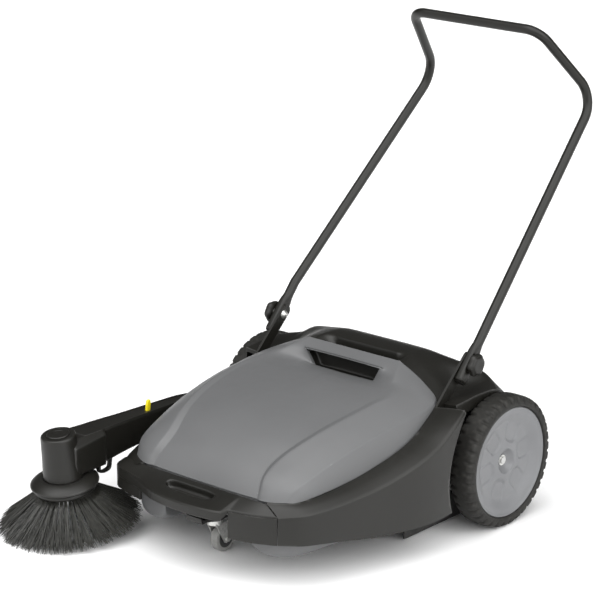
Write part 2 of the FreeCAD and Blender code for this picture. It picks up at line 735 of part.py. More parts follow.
def guard_collar():
    low = DRUM_LOW - 12
    ring = brush_cone(low, low + 10, 76, 58)
    return ring.cut(brush_cone(low - 2, low + 7, 73, 56)).cut(brush_rod(low - 5, low + 12, 47))


def drum_cap():
    cap = brush_rod(228.2, 233, 35)
    slot = box((BRUSH_X - 12, BRUSH_Y - 60, 231), (BRUSH_X + 12, BRUSH_Y + 10, 240))
    return cap.cut(slot.common(brush_rod(231.5, 240, 16)))


def spindle():
    return brush_rod(BRISTLE_TOP + 3, 214, SPINDLE_R)


def spindle_bush(h0, h1):
    return brush_rod(h0, h1, 9.98).cut(brush_rod(h0 - 1, h1 + 1, SPINDLE_R + RUN_GAP))


def spindle_pulley():
    disc = brush_rod(SPINDLE_PULLEY_H - 5, SPINDLE_PULLEY_H + 5, SPINDLE_PULLEY_R + 1)
    groove = Part.makeTorus(SPINDLE_PULLEY_R, BELT_GROOVE_R, on_brush_axis(SPINDLE_PULLEY_H), BRUSH_AXIS)
    return disc.cut(groove).cut(brush_rod(SPINDLE_PULLEY_H - 6, SPINDLE_PULLEY_H + 6, SPINDLE_R + PRESS_GAP))


def half_ring(centre, axis, radius, keep_side):
    ring = Part.makeTorus(radius, BELT_R, centre, axis)
    size = 80
    keep = Part.makeBox(size, size, size, FreeCAD.Vector(-size / 2, -size / 2, 0))
    keep.Placement = FreeCAD.Placement(centre, FreeCAD.Rotation(Z_AXIS, keep_side))
    return ring.common(keep)


def straight_run(a, b):
    knuckle_r = BELT_R + 0.3
    stick = Part.makeCylinder(BELT_R, (b - a).Length, a, b - a)
    return stick.fuse([Part.makeSphere(knuckle_r, a), Part.makeSphere(knuckle_r, b)])


def brush_belt():
    """Quarter twist belt: over the pivot pulley's top and bottom, and round the spindle's front."""
    pivot = FreeCAD.Vector(ARM_PULLEY_X, JACK_Y, JACK_Z)
    head = on_brush_axis(SPINDLE_PULLEY_H)
    rear = half_ring(pivot, X_AXIS, ARM_PULLEY_R, Y_AXIS)
    front_side = BRUSH_AXIS.cross(X_AXIS) * -1
    front = half_ring(head, BRUSH_AXIS, SPINDLE_PULLEY_R, front_side)
    top_run = straight_run(pivot + Z_AXIS * ARM_PULLEY_R, head + X_AXIS * SPINDLE_PULLEY_R)
    low_run = straight_run(pivot - Z_AXIS * ARM_PULLEY_R, head - X_AXIS * SPINDLE_PULLEY_R)
    return rear.fuse([front, top_run, low_run])


def brush_plate():
    disc = brush_rod(BRISTLE_TOP + GAP, BRISTLE_TOP + 10, BRISTLE_TOP_R)
    return disc.cut(brush_rod(BRISTLE_TOP - 5, BRISTLE_TOP + 15, SPINDLE_R + PRESS_GAP))


def brush_bristles():
    low = BRISTLE_R * math.tan(TILT) + 0.4
    outer = brush_cone(low, BRISTLE_TOP, BRISTLE_R, BRISTLE_TOP_R)
    return outer.cut(brush_cone(low - 1, BRISTLE_TOP - 8, BRISTLE_R - 10, BRISTLE_TOP_R - 2))


# ---- caster ----
def caster_screw_points():
    return [(CASTER_X + sx * 23, CASTER_Y + sy * 19) for sx in (-1, 1) for sy in (-1, 1)]


def caster_plate():
    plate = box((CASTER_X - 30, CASTER_Y - 25, CASTER_PLATE_Z), (CASTER_X + 30, CASTER_Y + 25, 90.5))
    for x, y in caster_screw_points():
        plate = plate.cut(column(x, y, 80, 95, 2.6))
    race = column(CASTER_X, CASTER_Y, 81, CASTER_PLATE_Z, 14)
    stem = column(CASTER_X, CASTER_Y, 66, 82, 5)
    head = column(CASTER_X, CASTER_Y, 65, 68, 8)
    return join([plate, race, stem, head])


def caster_screws():
    screws = []
    for x, y in caster_screw_points():
        screws.append(column(x, y, 86, 104, 2.5).fuse(column(x, y, 85, CASTER_PLATE_Z - 0.1, 4.2)))
    return screws


def caster_fork():
    crown = column(CASTER_X, CASTER_Y, 69, 80, 17).cut(column(CASTER_X, CASTER_Y, 60, 90, 5.05))
    y = CASTER_Y + CASTER_TRAIL
    bridge = box((CASTER_X - 15, CASTER_Y - 10, 69), (CASTER_X + 15, y + 6, 72))
    bridge = bridge.cut(column(CASTER_X, CASTER_Y, 60, 90, 9))
    sides = []
    outline = [(CASTER_Y - 12, 71.9), (y + 8, 71.9), (y + 10, 30), (y - 4, 21), (y - 10, 24)]
    for x0 in (-15, 12.5):
        sides.append(side_prism(outline, CASTER_X + x0, CASTER_X + x0 + 2.5))
    fork = join([crown, bridge] + sides)
    return fork.cut(rod(CASTER_X - 20, CASTER_X + 20, y, CASTER_R, 3.02))


def caster_axle():
    y = CASTER_Y + CASTER_TRAIL
    axle = rod(CASTER_X - 17, CASTER_X + 17, y, CASTER_R, 3)
    heads = []
    for x0 in (CASTER_X - 18, CASTER_X + 15.1):
        heads.append(rod(x0, x0 + 2.9, y, CASTER_R, 6))
    return axle.fuse(heads)


def caster_wheel(outer, inner):
    y = CASTER_Y + CASTER_TRAIL
    return sleeve(CASTER_X - 10, CASTER_X + 10, y, CASTER_R, outer, inner)


def caster_tyre():
    ring = caster_wheel(CASTER_R - 0.3, 21)
    round_edges = [e for e in ring.Edges if abs(e.Length - 2 * math.pi * (CASTER_R - 0.3)) < 1]
    return ring.makeFillet(3, round_edges)


# ---- build ----
def build_chassis():
    save("chassis_frame", chassis_frame())
    save("side_panel_left", side_panel_left())
    save("side_panel_right", side_panel_right())
    save("front_bar", front_bar())
    save("front_skirt_left", front_skirt_left())
    save("front_skirt_right", front_skirt_right())
    save("rear_hood", rear_hood())
    for side, place in (("left", lambda s: s), ("right", mirrored)):
        save("handle_bracket_" + side, place(handle_bracket()))
    save_pair("stub_axles", stub_axle())
    save_pair("roller_bearings", roller_bearing())
    save_pair("carriage_bolts", carriage_bolt())
    save_pair("axle_clips", axle_retainer())
    bolts = bracket_bolts()
    save("bracket_bolts", *(bolts + [mirrored(b) for b in bolts]))
    save("rear_seal", rear_seal())
    save_pair("side_seals", side_seal())
    save("jackshaft_bushes", jack_bush(-FRAME_OUT, -FRAME_IN), jack_bush(-ARM_PIVOT_FACE, -302))
    save("drive_belt", drive_belt())
    save("caster_plate", caster_plate())
    save("caster_screws", *caster_screws())


def build_wheels():
    for side, place in (("left", lambda s: s), ("right", mirrored)):
        save("wheel_rim_" + side, place(wheel_rim()))
        save("tyre_" + side, place(tyre()))
        save("drive_gear_" + side, place(drive_gear()))
    save("pinion_left", pinion(ROLLER_SHAFT_R + RUN_GAP))


def build_roller():
    save("pinion_right", mirrored(pinion(ROLLER_SHAFT_R + PRESS_GAP)))
    save("roller_shaft", roller_shaft())
    save("roller_core", roller_core())
    save("roller_bristles", roller_bristles())
    save("roller_pulley", pulley(DRIVE_BELT_X - 5, DRIVE_BELT_X + 5, ROLLER_Y, ROLLER_Z, PULLEY_R,
                                 ROLLER_SHAFT_R + PRESS_GAP))


def build_handle():
    save("handle_tube", handle_tube())
    save_pair("handle_end_plugs", end_plug())
    for side, place in (("left", lambda s: s), ("right", mirrored)):
        save("clamp_knob_" + side, place(clamp_knob()))
    save_pair("clamp_washers", clamp_washer())


def build_bin():
    save("bin_cover", bin_cover())
    save("bin_tub", bin_tub())
    save("bin_grip_tray", grip_tray())
    save("bin_seal", bin_seal())


def build_side_brush():
    save("jackshaft", rod(-349, -247, JACK_Y, JACK_Z, JACK_R))
    save("jackshaft_pulley", pulley(DRIVE_BELT_X - 5, DRIVE_BELT_X + 5, JACK_Y, JACK_Z, PULLEY_R,
                                    JACK_R + PRESS_GAP))
    save("arm_pulley", pulley(ARM_PULLEY_X - 5, ARM_PULLEY_X + 5, JACK_Y, JACK_Z, ARM_PULLEY_R,
                              JACK_R + PRESS_GAP))
    save("brush_arm", arm_housing())
    save("brush_arm_cover", arm_cover())
    save("brush_drum_cap", drum_cap())
    save("brush_guard_collar", guard_collar())
    save("brush_lift_lever", lever())
    save("lever_pin", lever_pin())
    save("spindle_bushes", spindle_bush(DRUM_LOW + 1, DRUM_LOW + 13), spindle_bush(197, 212))
    save("brush_belt", brush_belt())
    save("brush_spindle", spindle())
    save("spindle_pulley", spindle_pulley())
    save("brush_plate", brush_plate())
    save("side_brush_bristles", brush_bristles())


def build_caster():
    save("caster_fork", caster_fork())
    save("caster_axle", caster_axle())
    save("caster_hub", caster_wheel(20.9, 3 + RUN_GAP))
    save("caster_tyre", caster_tyre())


build_chassis()
build_wheels()
build_roller()
build_handle()
build_bin()
build_side_brush()
build_caster()
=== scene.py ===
import json
import math
import random

import bmesh
import bpy
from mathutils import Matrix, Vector


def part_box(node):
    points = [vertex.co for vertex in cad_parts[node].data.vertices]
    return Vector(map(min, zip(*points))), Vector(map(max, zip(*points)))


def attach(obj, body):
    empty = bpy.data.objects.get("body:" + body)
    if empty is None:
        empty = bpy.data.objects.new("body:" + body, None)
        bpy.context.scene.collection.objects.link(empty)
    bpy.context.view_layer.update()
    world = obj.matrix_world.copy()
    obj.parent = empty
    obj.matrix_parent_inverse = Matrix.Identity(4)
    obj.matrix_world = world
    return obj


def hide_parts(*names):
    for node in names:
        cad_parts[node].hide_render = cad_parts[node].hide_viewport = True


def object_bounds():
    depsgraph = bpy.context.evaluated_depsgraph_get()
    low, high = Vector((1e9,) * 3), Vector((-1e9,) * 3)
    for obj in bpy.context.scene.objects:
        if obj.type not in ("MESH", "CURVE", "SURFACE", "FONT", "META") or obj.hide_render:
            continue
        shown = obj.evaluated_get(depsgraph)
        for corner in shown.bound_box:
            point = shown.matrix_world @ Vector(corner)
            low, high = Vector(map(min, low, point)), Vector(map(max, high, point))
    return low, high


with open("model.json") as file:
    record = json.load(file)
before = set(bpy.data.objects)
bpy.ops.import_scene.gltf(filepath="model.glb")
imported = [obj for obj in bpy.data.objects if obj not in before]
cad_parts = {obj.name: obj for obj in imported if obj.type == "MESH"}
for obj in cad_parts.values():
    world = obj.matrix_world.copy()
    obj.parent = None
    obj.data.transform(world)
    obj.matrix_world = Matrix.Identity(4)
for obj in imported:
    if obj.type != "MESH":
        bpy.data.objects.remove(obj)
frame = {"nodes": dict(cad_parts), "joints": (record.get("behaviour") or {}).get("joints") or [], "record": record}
CAD_LOW, CAD_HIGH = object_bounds()
JOINTS = {j["name"]: j for j in frame["joints"]}
SCENE = bpy.context.scene
MM = 0.001
DUST = (0.16, 0.15, 0.13, 1)
BEVEL_ANGLE = 40
CORNER_TURNS = 10
STRAND_CORNERS = (0, 2.0944, 4.18879)


def joint_at(name):
    return Vector(JOINTS[name]["pos_m"])


AXLE = joint_at("left_wheel_spin")
FLOOR_Z = CAD_LOW.z


def spot(x, y, z):
    """Point in metres from millimetres: x from the middle plane, y from the axle line, z from the floor."""
    return Vector((x * MM, AXLE.y + y * MM, FLOOR_Z + z * MM))


def smooth(low, high, value):
    t = min(1.0, max(0.0, (value - low) / (high - low)))
    return t * t * (3 - 2 * t)


# ---- materials ----
def add_noise(tree, coords, size_mm, detail):
    noise = tree.nodes.new("ShaderNodeTexNoise")
    noise.inputs["Scale"].default_value = 1000.0 / size_mm
    noise.inputs["Detail"].default_value = detail
    tree.links.new(coords.outputs["Object"], noise.inputs["Vector"])
    return noise.outputs["Fac"]


def add_ramp(tree, source, low, high, low_colour, high_colour):
    ramp = tree.nodes.new("ShaderNodeValToRGB")
    ramp.color_ramp.elements[0].position = low
    ramp.color_ramp.elements[1].position = high
    ramp.color_ramp.elements[0].color = low_colour
    ramp.color_ramp.elements[1].color = high_colour
    tree.links.new(source, ramp.inputs["Fac"])
    return ramp.outputs["Color"]


def add_mix(tree, factor, base, colour):
    mix = tree.nodes.new("ShaderNodeMix")
    mix.data_type = "RGBA"
    tree.links.new(factor, mix.inputs[0])
    tree.links.new(base, mix.inputs[6])
    mix.inputs[7].default_value = colour
    return mix.outputs[2]


def shade(colour, factor):
    return tuple(min(1.0, c * factor) for c in colour[:3]) + (1.0,)


def surface(name, colour, rough, grain_mm, grain_depth, mottle=0.08, patch_mm=60, edge=0.0, dust=0.0,
            metal=0.0, rough_swing=0.06, specular=0.5, stretch=None):
    """Material with drifting colour and roughness, a fine grain, paler edges (partly wear, partly a painted edge
    highlight) and a little dust.
    """
    mat = bpy.data.materials.new(name)
    mat.use_nodes = True
    tree = mat.node_tree
    bsdf = tree.nodes["Principled BSDF"]
    coords = tree.nodes.new("ShaderNodeTexCoord")
    patches = add_noise(tree, coords, patch_mm, 3)
    base = add_ramp(tree, patches, 0.32, 0.68, shade(colour, 1 - mottle), shade(colour, 1 + mottle))
    # Convex edges found by pointiness are painted paler: partly wear, partly a painted highlight along edges and
    # creases.
    if edge:
        geometry = tree.nodes.new("ShaderNodeNewGeometry")
        edge_wear_and_highlight = add_ramp(tree, geometry.outputs["Pointiness"], 0.53, 0.62, (0, 0, 0, 1), (edge, edge, edge, 1))
        base = add_mix(tree, edge_wear_and_highlight, base, shade([c + 0.05 for c in colour], 2.0))
    if dust:
        specks = add_noise(tree, coords, 9, 6)
        amount = add_ramp(tree, specks, 0.5, 0.8, (0, 0, 0, 1), (dust, dust, dust, 1))
        base = add_mix(tree, amount, base, DUST)
    tree.links.new(base, bsdf.inputs["Base Color"])
    wander = add_noise(tree, coords, 22, 4)
    spread = tree.nodes.new("ShaderNodeMapRange")
    spread.inputs["To Min"].default_value = rough - rough_swing
    spread.inputs["To Max"].default_value = rough + rough_swing
    tree.links.new(wander, spread.inputs["Value"])
    tree.links.new(spread.outputs["Result"], bsdf.inputs["Roughness"])
    grain = tree.nodes.new("ShaderNodeTexNoise")
    grain.inputs["Scale"].default_value = 1000.0 / grain_mm
    grain.inputs["Detail"].default_value = 2
    if stretch:
        mapping = tree.nodes.new("ShaderNodeMapping")
        mapping.inputs["Scale"].default_value = stretch
        tree.links.new(coords.outputs["Object"], mapping.inputs["Vector"])
        tree.links.new(mapping.outputs["Vector"], grain.inputs["Vector"])
    else:
        tree.links.new(coords.outputs["Object"], grain.inputs["Vector"])
    bump = tree.nodes.new("ShaderNodeBump")
    bump.inputs["Strength"].default_value = 0.6
    bump.inputs["Distance"].default_value = grain_depth * MM
    tree.links.new(grain.outputs["Fac"], bump.inputs["Height"])
    tree.links.new(bump.outputs["Normal"], bsdf.inputs["Normal"])
    bsdf.inputs["Metallic"].default_value = metal
    bsdf.inputs["Specular IOR Level"].default_value = specular
    return mat


MATERIALS = {
    "grey_plastic": surface("grey_plastic", (0.112, 0.1135, 0.1155), 0.44, 1.1, 0.05, 0.035, 140, edge=0.25,
                            specular=0.45),
    "black_plastic": surface("black_plastic", (0.0078, 0.0074, 0.0058), 0.40, 0.9, 0.09, 0.12, 90, edge=0.25,
                             specular=0.42),
    "rim_grey": surface("rim_grey", (0.150, 0.1525, 0.158), 0.40, 1.3, 0.05, 0.04, 70, edge=0.2),
    "knob_black": surface("knob_black", (0.0085, 0.008, 0.0065), 0.42, 0.7, 0.10, 0.12, 20, edge=0.3,
                          specular=0.35),
    "handle_paint": surface("handle_paint", (0.008, 0.0076, 0.006), 0.36, 1.6, 0.10, 0.10, 60, edge=0.15,
                            specular=0.35),
    "bracket_paint": surface("bracket_paint", (0.008, 0.0076, 0.006), 0.40, 1.4, 0.10, 0.10, 30, edge=0.3,
                             specular=0.35),
    "zinc": surface("zinc", (0.60, 0.60, 0.58), 0.34, 2.5, 0.08, 0.18, 6, metal=0.9, rough_swing=0.1),
    "shaft_steel": surface("shaft_steel", (0.52, 0.52, 0.51), 0.25, 0.5, 0.05, 0.08, 12, metal=1.0,
                           stretch=(40, 1, 1)),
    "tyre": surface("tyre", (0.010, 0.0095, 0.008), 0.66, 0.8, 0.16, 0.18, 25, edge=0.3, dust=0.10,
                    specular=0.35),
    "seal_rubber": surface("seal_rubber", (0.02, 0.02, 0.019), 0.7, 0.8, 0.12, 0.15, 30, dust=0.2),
    "belt": surface("belt", (0.025, 0.025, 0.025), 0.6, 0.6, 0.1, 0.15, 10),
    "gear_nylon": surface("gear_nylon", (0.07, 0.07, 0.068), 0.45, 0.8, 0.06, 0.1, 30, edge=0.2),
    "bristle": surface("bristle", (0.022, 0.022, 0.018), 0.30, 3.0, 0.04, 0.45, 9, specular=0.6),
    "roller_bristle": surface("roller_bristle", (0.035, 0.035, 0.04), 0.5, 1.0, 0.1, 0.3, 8),
    "caster_rubber": surface("caster_rubber", (0.26, 0.26, 0.25), 0.55, 0.8, 0.1, 0.1, 12, dust=0.3),
    "caster_core": surface("caster_core", (0.03, 0.03, 0.03), 0.45, 0.8, 0.08, 0.1, 12),
    "yellow_plastic": surface("yellow_plastic", (0.80, 0.66, 0.012), 0.32, 0.8, 0.05, 0.06, 12, edge=0.1),
}


# ---- mesh helpers ----
def polish(obj, levels=0, thick=0.0, bevel=0.0, bevel_angle=BEVEL_ANGLE, weld=False):
    """Adds the modifiers that turn a control mesh or a CAD mesh into a moulded-looking surface."""
    if weld:
        obj.modifiers.new("weld", "WELD").merge_threshold = 0.00002
    if levels:
        sub = obj.modifiers.new("subdivide", "SUBSURF")
        sub.levels = levels
        sub.render_levels = levels
    if thick:
        solid = obj.modifiers.new("wall", "SOLIDIFY")
        solid.thickness = thick * MM
        solid.offset = -1
        solid.use_even_offset = True
    if bevel:
        soft = obj.modifiers.new("bevel", "BEVEL")
        soft.width = bevel * MM
        soft.segments = 3
        soft.limit_method = "ANGLE"
        soft.angle_limit = math.radians(bevel_angle)
        soft.miter_outer = "MITER_ARC"
    normal = obj.modifiers.new("normals", "WEIGHTED_NORMAL")
    normal.keep_sharp = True


def piece(name, bm, body, slot, replaced=(), levels=0, thick=0.0, bevel=0.0, outward=False):
    """Turns a control mesh into an object on its body; replaced lists the CAD nodes it stands in for."""
    if outward:
        bmesh.ops.recalc_face_normals(bm, faces=bm.faces)
    mesh = bpy.data.meshes.new(name)
    bm.to_mesh(mesh)
    bm.free()
    for polygon in mesh.polygons:
        polygon.use_smooth = True
    obj = bpy.data.objects.new(name, mesh)
    SCENE.collection.objects.link(obj)
    mesh.materials.append(MATERIALS[slot])
    polish(obj, levels, thick, bevel)
    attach(obj, body)
    if replaced:
        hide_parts(*replaced)
    return obj


def bake(obj):
    """Applies the modifiers, so that a cutter can be thrown away."""
    bpy.context.view_layer.update()
    graph = bpy.context.evaluated_depsgraph_get()
    done = bpy.data.meshes.new_from_object(obj.evaluated_get(graph))
    obj.modifiers.clear()
    obj.data = done


def cut_with(obj, cutter_bm):
    """Cuts a closed form away from obj, ahead of the modifiers that soften its edges."""
    mesh = bpy.data.meshes.new("cutter")
    bmesh.ops.recalc_face_normals(cutter_bm, faces=cutter_bm.faces)
    cutter_bm.to_mesh(mesh)
    cutter_bm.free()
    cutter = bpy.data.objects.new("cutter", mesh)
    SCENE.collection.objects.link(cutter)
    boolean = obj.modifiers.new("cut", "BOOLEAN")
    boolean.operation = "DIFFERENCE"
    boolean.solver = "EXACT"
    boolean.object = cutter
    bake(obj)
    bpy.data.objects.remove(cutter)


def crease_layer(bm):
    return bm.edges.layers.float.get("crease_edge") or bm.edges.layers.float.new("crease_edge")


def mirrored_row(half):
    """Full row from one given centre to side; the first point is on the middle plane."""
    return [(-x, y, z) for x, y, z in reversed(half[1:])] + list(half)


def lay(bm, rows):
    return [[bm.verts.new(spot(*p)) for p in row] for row in rows]


def skin(bm, verts, ring=False):
    faces = {}
    for r in range(len(verts) - 1):
        count = len(verts[r])
        for c in range(count if ring else count - 1):
            d = (c + 1) % count
            faces[r, c] = bm.faces.new((verts[r][c], verts[r][d], verts[r + 1][d], verts[r + 1][c]))
    return faces


def crease_column(bm, verts, column, value, first=0, last=None):
    layer = crease_layer(bm)
    last = len(verts) - 1 if last is None else last
    for r in range(first, last):
        edge = bm.edges.get((verts[r][column], verts[r + 1][column]))
        if edge:
            edge[layer] = value


def crease_row(bm, verts, row, value, ring=False):
    layer = crease_layer(bm)
    count = len(verts[row])
    for c in range(count if ring else count - 1):
        edge = bm.edges.get((verts[row][c], verts[row][(c + 1) % count]))
        if edge:
            edge[layer] = value


def sink(bm, faces, move, shrink=1.0, floor=True, value=0.9):
    """Turns a patch of faces into a pocket whose floor is moved by `move` and drawn in about its middle."""
    layer = crease_layer(bm)
    pin = bm.verts.layers.float.get("crease_vert")
    patch = set(faces)
    points = list(dict.fromkeys(v for f in faces for v in f.verts))
    middle = sum((v.co for v in points), Vector()) / len(points)
    low = {v: bm.verts.new(middle + (v.co - middle) * shrink + move) for v in points}
    if pin:
        for v in points:
            low[v][pin] = v[pin]
    walls = []
    for face in faces:
        for loop in face.loops:
            if sum(1 for f in loop.edge.link_faces if f in patch) == 1:
                walls.append((loop.vert, loop.link_loop_next.vert))
    floors = [[low[v] for v in f.verts] for f in faces]
    bmesh.ops.delete(bm, geom=list(faces), context="FACES_ONLY")
    for a, b in walls:
        bm.faces.new((a, b, low[b], low[a]))
        bm.edges.get((a, b))[layer] = value
        bm.edges.get((low[a], low[b]))[layer] = value * 0.5 if floor else value
        if pin and a[pin]:
            bm.edges.get((a, low[a]))[layer] = value
    if floor:
        for corners in floors:
            bm.faces.new(corners)
    loose = [e for e in bm.edges if not e.link_faces]
    bmesh.ops.delete(bm, geom=loose, context="EDGES")
    bmesh.ops.delete(bm, geom=[v for v in bm.verts if not v.link_faces], context="VERTS")


def revolve(bm, profile, origin, axis, ring=64, closed=False, relief=None):
    """Turned form: profile is (along, radius) in mm, relief(along, radius, angle) returns both changed."""
    axis = Vector(axis).normalized()
    across = axis.orthogonal().normalized() if abs(axis.x) < 0.9 else Vector((0, 1, 0))
    other = axis.cross(across)
    loops = []
    for along, radius in profile:
        if radius < 0.01:
            loops.append([bm.verts.new(origin + axis * along * MM)])
            continue
        loop = []
        for k in range(ring):
            a = 2 * math.pi * k / ring
            h, r = relief(along, radius, a) if relief else (along, radius)
            direction = across * math.cos(a) + other * math.sin(a)
            loop.append(bm.verts.new(origin + axis * h * MM + direction * r * MM))
        loops.append(loop)
    pairs = list(zip(loops, loops[1:])) + ([(loops[-1], loops[0])] if closed else [])
    for one, two in pairs:
        for k in range(ring):
            n = (k + 1) % ring
            corners = [one[k % len(one)], one[n % len(one)], two[n % len(two)], two[k % len(two)]]
            unique = list(dict.fromkeys(corners))
            if len(unique) > 2:
                bm.faces.new(unique)


def rounded_path(points, radii):
    path = [points[0]]
    for before, corner, after, radius in zip(points, points[1:], points[2:], radii):
        u = (before - corner).normalized()
        v = (after - corner).normalized()
        half = u.angle(v) / 2
        centre = corner + (u + v).normalized() * (radius * MM / math.sin(half))
        start = corner + u * (radius * MM / math.tan(half)) - centre
        end = corner + v * (radius * MM / math.tan(half)) - centre
        for i in range(CORNER_TURNS + 1):
            path.append(centre + start.slerp(end, i / CORNER_TURNS).normalized() * radius * MM)
    path.append(points[-1])
    return path


def dense(path, step_mm):
    out = [path[0]]
    for a, b in zip(path, path[1:]):
        count = max(1, round((b - a).length / (step_mm * MM)))
        out += [a.lerp(b, (i + 1) / count) for i in range(count)]
    return out


def sweep(bm, path, size_at, side, ring=20, square_at=lambda i: 1.0):
    """Tube along a path; size_at(i) gives half widths in mm, the first along side; square_at 1 is round."""
    loops = []
    for i, point in enumerate(path):
        ahead = (path[min(i + 1, len(path) - 1)] - path[max(i - 1, 0)]).normalized()
        side = (side - ahead * side.dot(ahead)).normalized()
        across = ahead.cross(side)
        wide, deep = size_at(i)
        square = square_at(i)
        loop = []
        for k in range(ring):
            a = 2 * math.pi * (k + 0.5) / ring
            c = math.copysign(abs(math.cos(a)) ** square, math.cos(a))
            s = math.copysign(abs(math.sin(a)) ** square, math.sin(a))
            loop.append(bm.verts.new(point + side * c * wide * MM + across * s * deep * MM))
        loops.append(loop)
    skin(bm, loops, ring=True)
    bm.faces.new(loops[0])
    bm.faces.new(loops[-1])


# ---- waste bin cover ----
COVER = [
    [(0, -592, 184), (100, -592, 184), (149, -588, 184), (161, -593, 184), (188, -586, 184),
     (213, -570, 184), (229, -550, 184)],
    [(0, -582, 208), (100, -581, 206), (145.5, -578, 200), (156, -587, 204), (190, -578, 208),
     (218, -560, 204), (233, -540, 185.5)],
    [(0, -560, 234), (96, -558, 231), (136, -560, 224), (149, -568, 229), (194, -557, 231),
     (228, -541, 216.5), (239, -525, 188)],
    [(0, -528, 255), (96, -526, 252), (137, -521, 247), (152, -528, 252), (199, -518, 249),
     (233.5, -506, 229), (245, -496, 191)],
    [(0, -484, 280), (98, -483, 278), (154, -481, 271), (169, -484, 275), (206, -472, 266), (239, -460, 244),
     (252, -452, 195)],
    [(0, -420, 301), (100, -420, 300), (169, -419, 292), (184, -420, 295), (216, -414, 281),
     (246, -408, 257.5), (260, -400, 203)],
    [(0, -350, 317), (104, -350, 315.5), (179, -350, 306), (194, -349, 308.5), (225, -345, 294),
     (253, -340, 271.5), (270, -332, 214)],
    [(0, -270, 328), (106, -270, 326.5), (187, -270, 317), (201, -268, 318.5), (231, -265, 304),
     (257.5, -262, 282.5), (277, -258, 237)],
    [(0, -205, 328.5), (98, -205, 328.5), (184, -206, 323), (200, -203, 323), (233, -197, 306),
     (261.3, -193, 288), (272, -195, 258)],
    [(0, -137, 308), (87, -137, 309.5), (168, -170, 330), (194, -168, 325), (234, -163, 309),
     (262, -155, 293), (265, -162, 273)],
    [(0, -139, 345), (107, -139, 343), (150, -140, 343), (190, -138, 332), (232, -136, 313),
     (254, -130, 295), (258, -137, 284)],
    [(0, -99, 356), (106, -99, 356), (131, -99, 356), (166, -101, 342), (200, -105, 327), (236, -111, 304),
     (250, -116, 290)],
    [(0, -98, 343), (106, -98, 343), (129, -98, 343), (162, -100, 330), (196, -104, 316), (231, -110, 294),
     (244, -115, 280)],
]
SLOT_FRONT_ROW = 9
REAR_EDGE_ROW = 11


def edged_row(row):
    """Splits the lobe's side edge (sixth point) into a narrow chamfer and straightens the flank below it."""
    top, edge, foot = (Vector(row[i]) for i in (4, 5, 6))
    proud = Vector((1.1, 0, 1.1))
    upper = edge + (top - edge).normalized() * 1.6 + proud
    lower = edge + (foot - edge).normalized() * 1.6 + proud
    flank = (edge + foot) / 2
    flank.x += 3.0
    return list(row[:5]) + [tuple(upper), tuple(lower), tuple(flank), row[6]]


def bin_cover():
    bm = bmesh.new()
    pin = bm.verts.layers.float.new("crease_vert")
    verts = lay(bm, [mirrored_row(edged_row(row)) for row in COVER])
    middle = len(COVER[0]) + 1
    faces = skin(bm, verts)
    for side in (-1, 1):
        crease_column(bm, verts, middle + side * 2, 1.0, 0, 8)
        crease_column(bm, verts, middle + side * 2, 0.5, 9, REAR_EDGE_ROW)
        crease_column(bm, verts, middle + side * 3, 0.45, 1, 8)
        crease_column(bm, verts, middle + side * 5, 0.97, 1, 10)
        crease_column(bm, verts, middle + side * 6, 0.97, 1, 10)
        crease_column(bm, verts, middle + side * 8, 1.0)
    crease_row(bm, verts, 0, 1.0)
    crease_row(bm, verts, REAR_EDGE_ROW, 0.85)
    crease_row(bm, verts, REAR_EDGE_ROW + 1, 1.0)
    for row, column in ((SLOT_FRONT_ROW, 1), (SLOT_FRONT_ROW + 1, 1), (REAR_EDGE_ROW, 2)):
        for side in (-1, 1):
            verts[row][middle + side * column][pin] = 1.0
        crease_column(bm, verts, middle + side, 0.85, SLOT_FRONT_ROW - 1, SLOT_FRONT_ROW)
    slot = [faces[SLOT_FRONT_ROW, middle - 1], faces[SLOT_FRONT_ROW, middle]]
    sink(bm, slot, Vector((0, 0.008, -0.004)), 0.98, floor=False, value=1.0)
    piece("bin_cover_shell", bm, "waste_bin", "grey_plastic", ["bin_cover"], 4, 3.5, 0.7)


def grip_pocket():
    """Dark hand hold behind the slot, open towards the front."""
    bm = bmesh.new()
    pin = bm.verts.layers.float.new("crease_vert")
    rows = []
    for y, half_low, half_high, low, high in ((-131, 88, 109, 302.5, 339), (-126, 88, 108, 301.5, 338.5),
                                              (-112, 84, 104, 300, 337), (-107, 80, 100, 303, 334)):
        rows.append([(-half_low, y, low), (half_low, y, low), (half_high, y, high), (-half_high, y, high)])
    verts = lay(bm, rows)
    skin(bm, verts, ring=True)
    bm.faces.new(verts[-1])
    for column in range(4):
        crease_column(bm, verts, column, 1.0)
        verts[0][column][pin] = 1.0
    crease_row(bm, verts, 0, 1.0, ring=True)
    piece("grip_pocket", bm, "waste_bin", "black_plastic", ["bin_grip_tray"], 3, 2.0)


# ---- waste bin tub ----
TUB = [
    (-582, 190, 181, 122, 66, 121), (-572, 212, 182, 123, 54, 122), (-548, 222, 183, 125, 47, 122),
    (-520, 228, 185, 127, 44, 122),
    (-480, 232, 190, 128, 42, 122), (-472, 233, 191, 128, 42, 43), (-420, 237, 198, 128, 40, 40),
    (-350, 240, 212, 128, 36, 36), (-290, 240, 229, 128, 31, 31), (-246, 240, 239, 128, 30, 30),
]


def tub_row(y, half, top, notch, low, roof):
    side = [(half, y, top), (half - 1, y, low + 34), (half - 14, y, low), (notch + 14, y, low),
            (notch, y, min(low + 16, roof) if roof > low else low), (notch - 1, y, roof), (60, y, roof)]
    return side + [(-x, yy, z) for x, yy, z in reversed(side)]


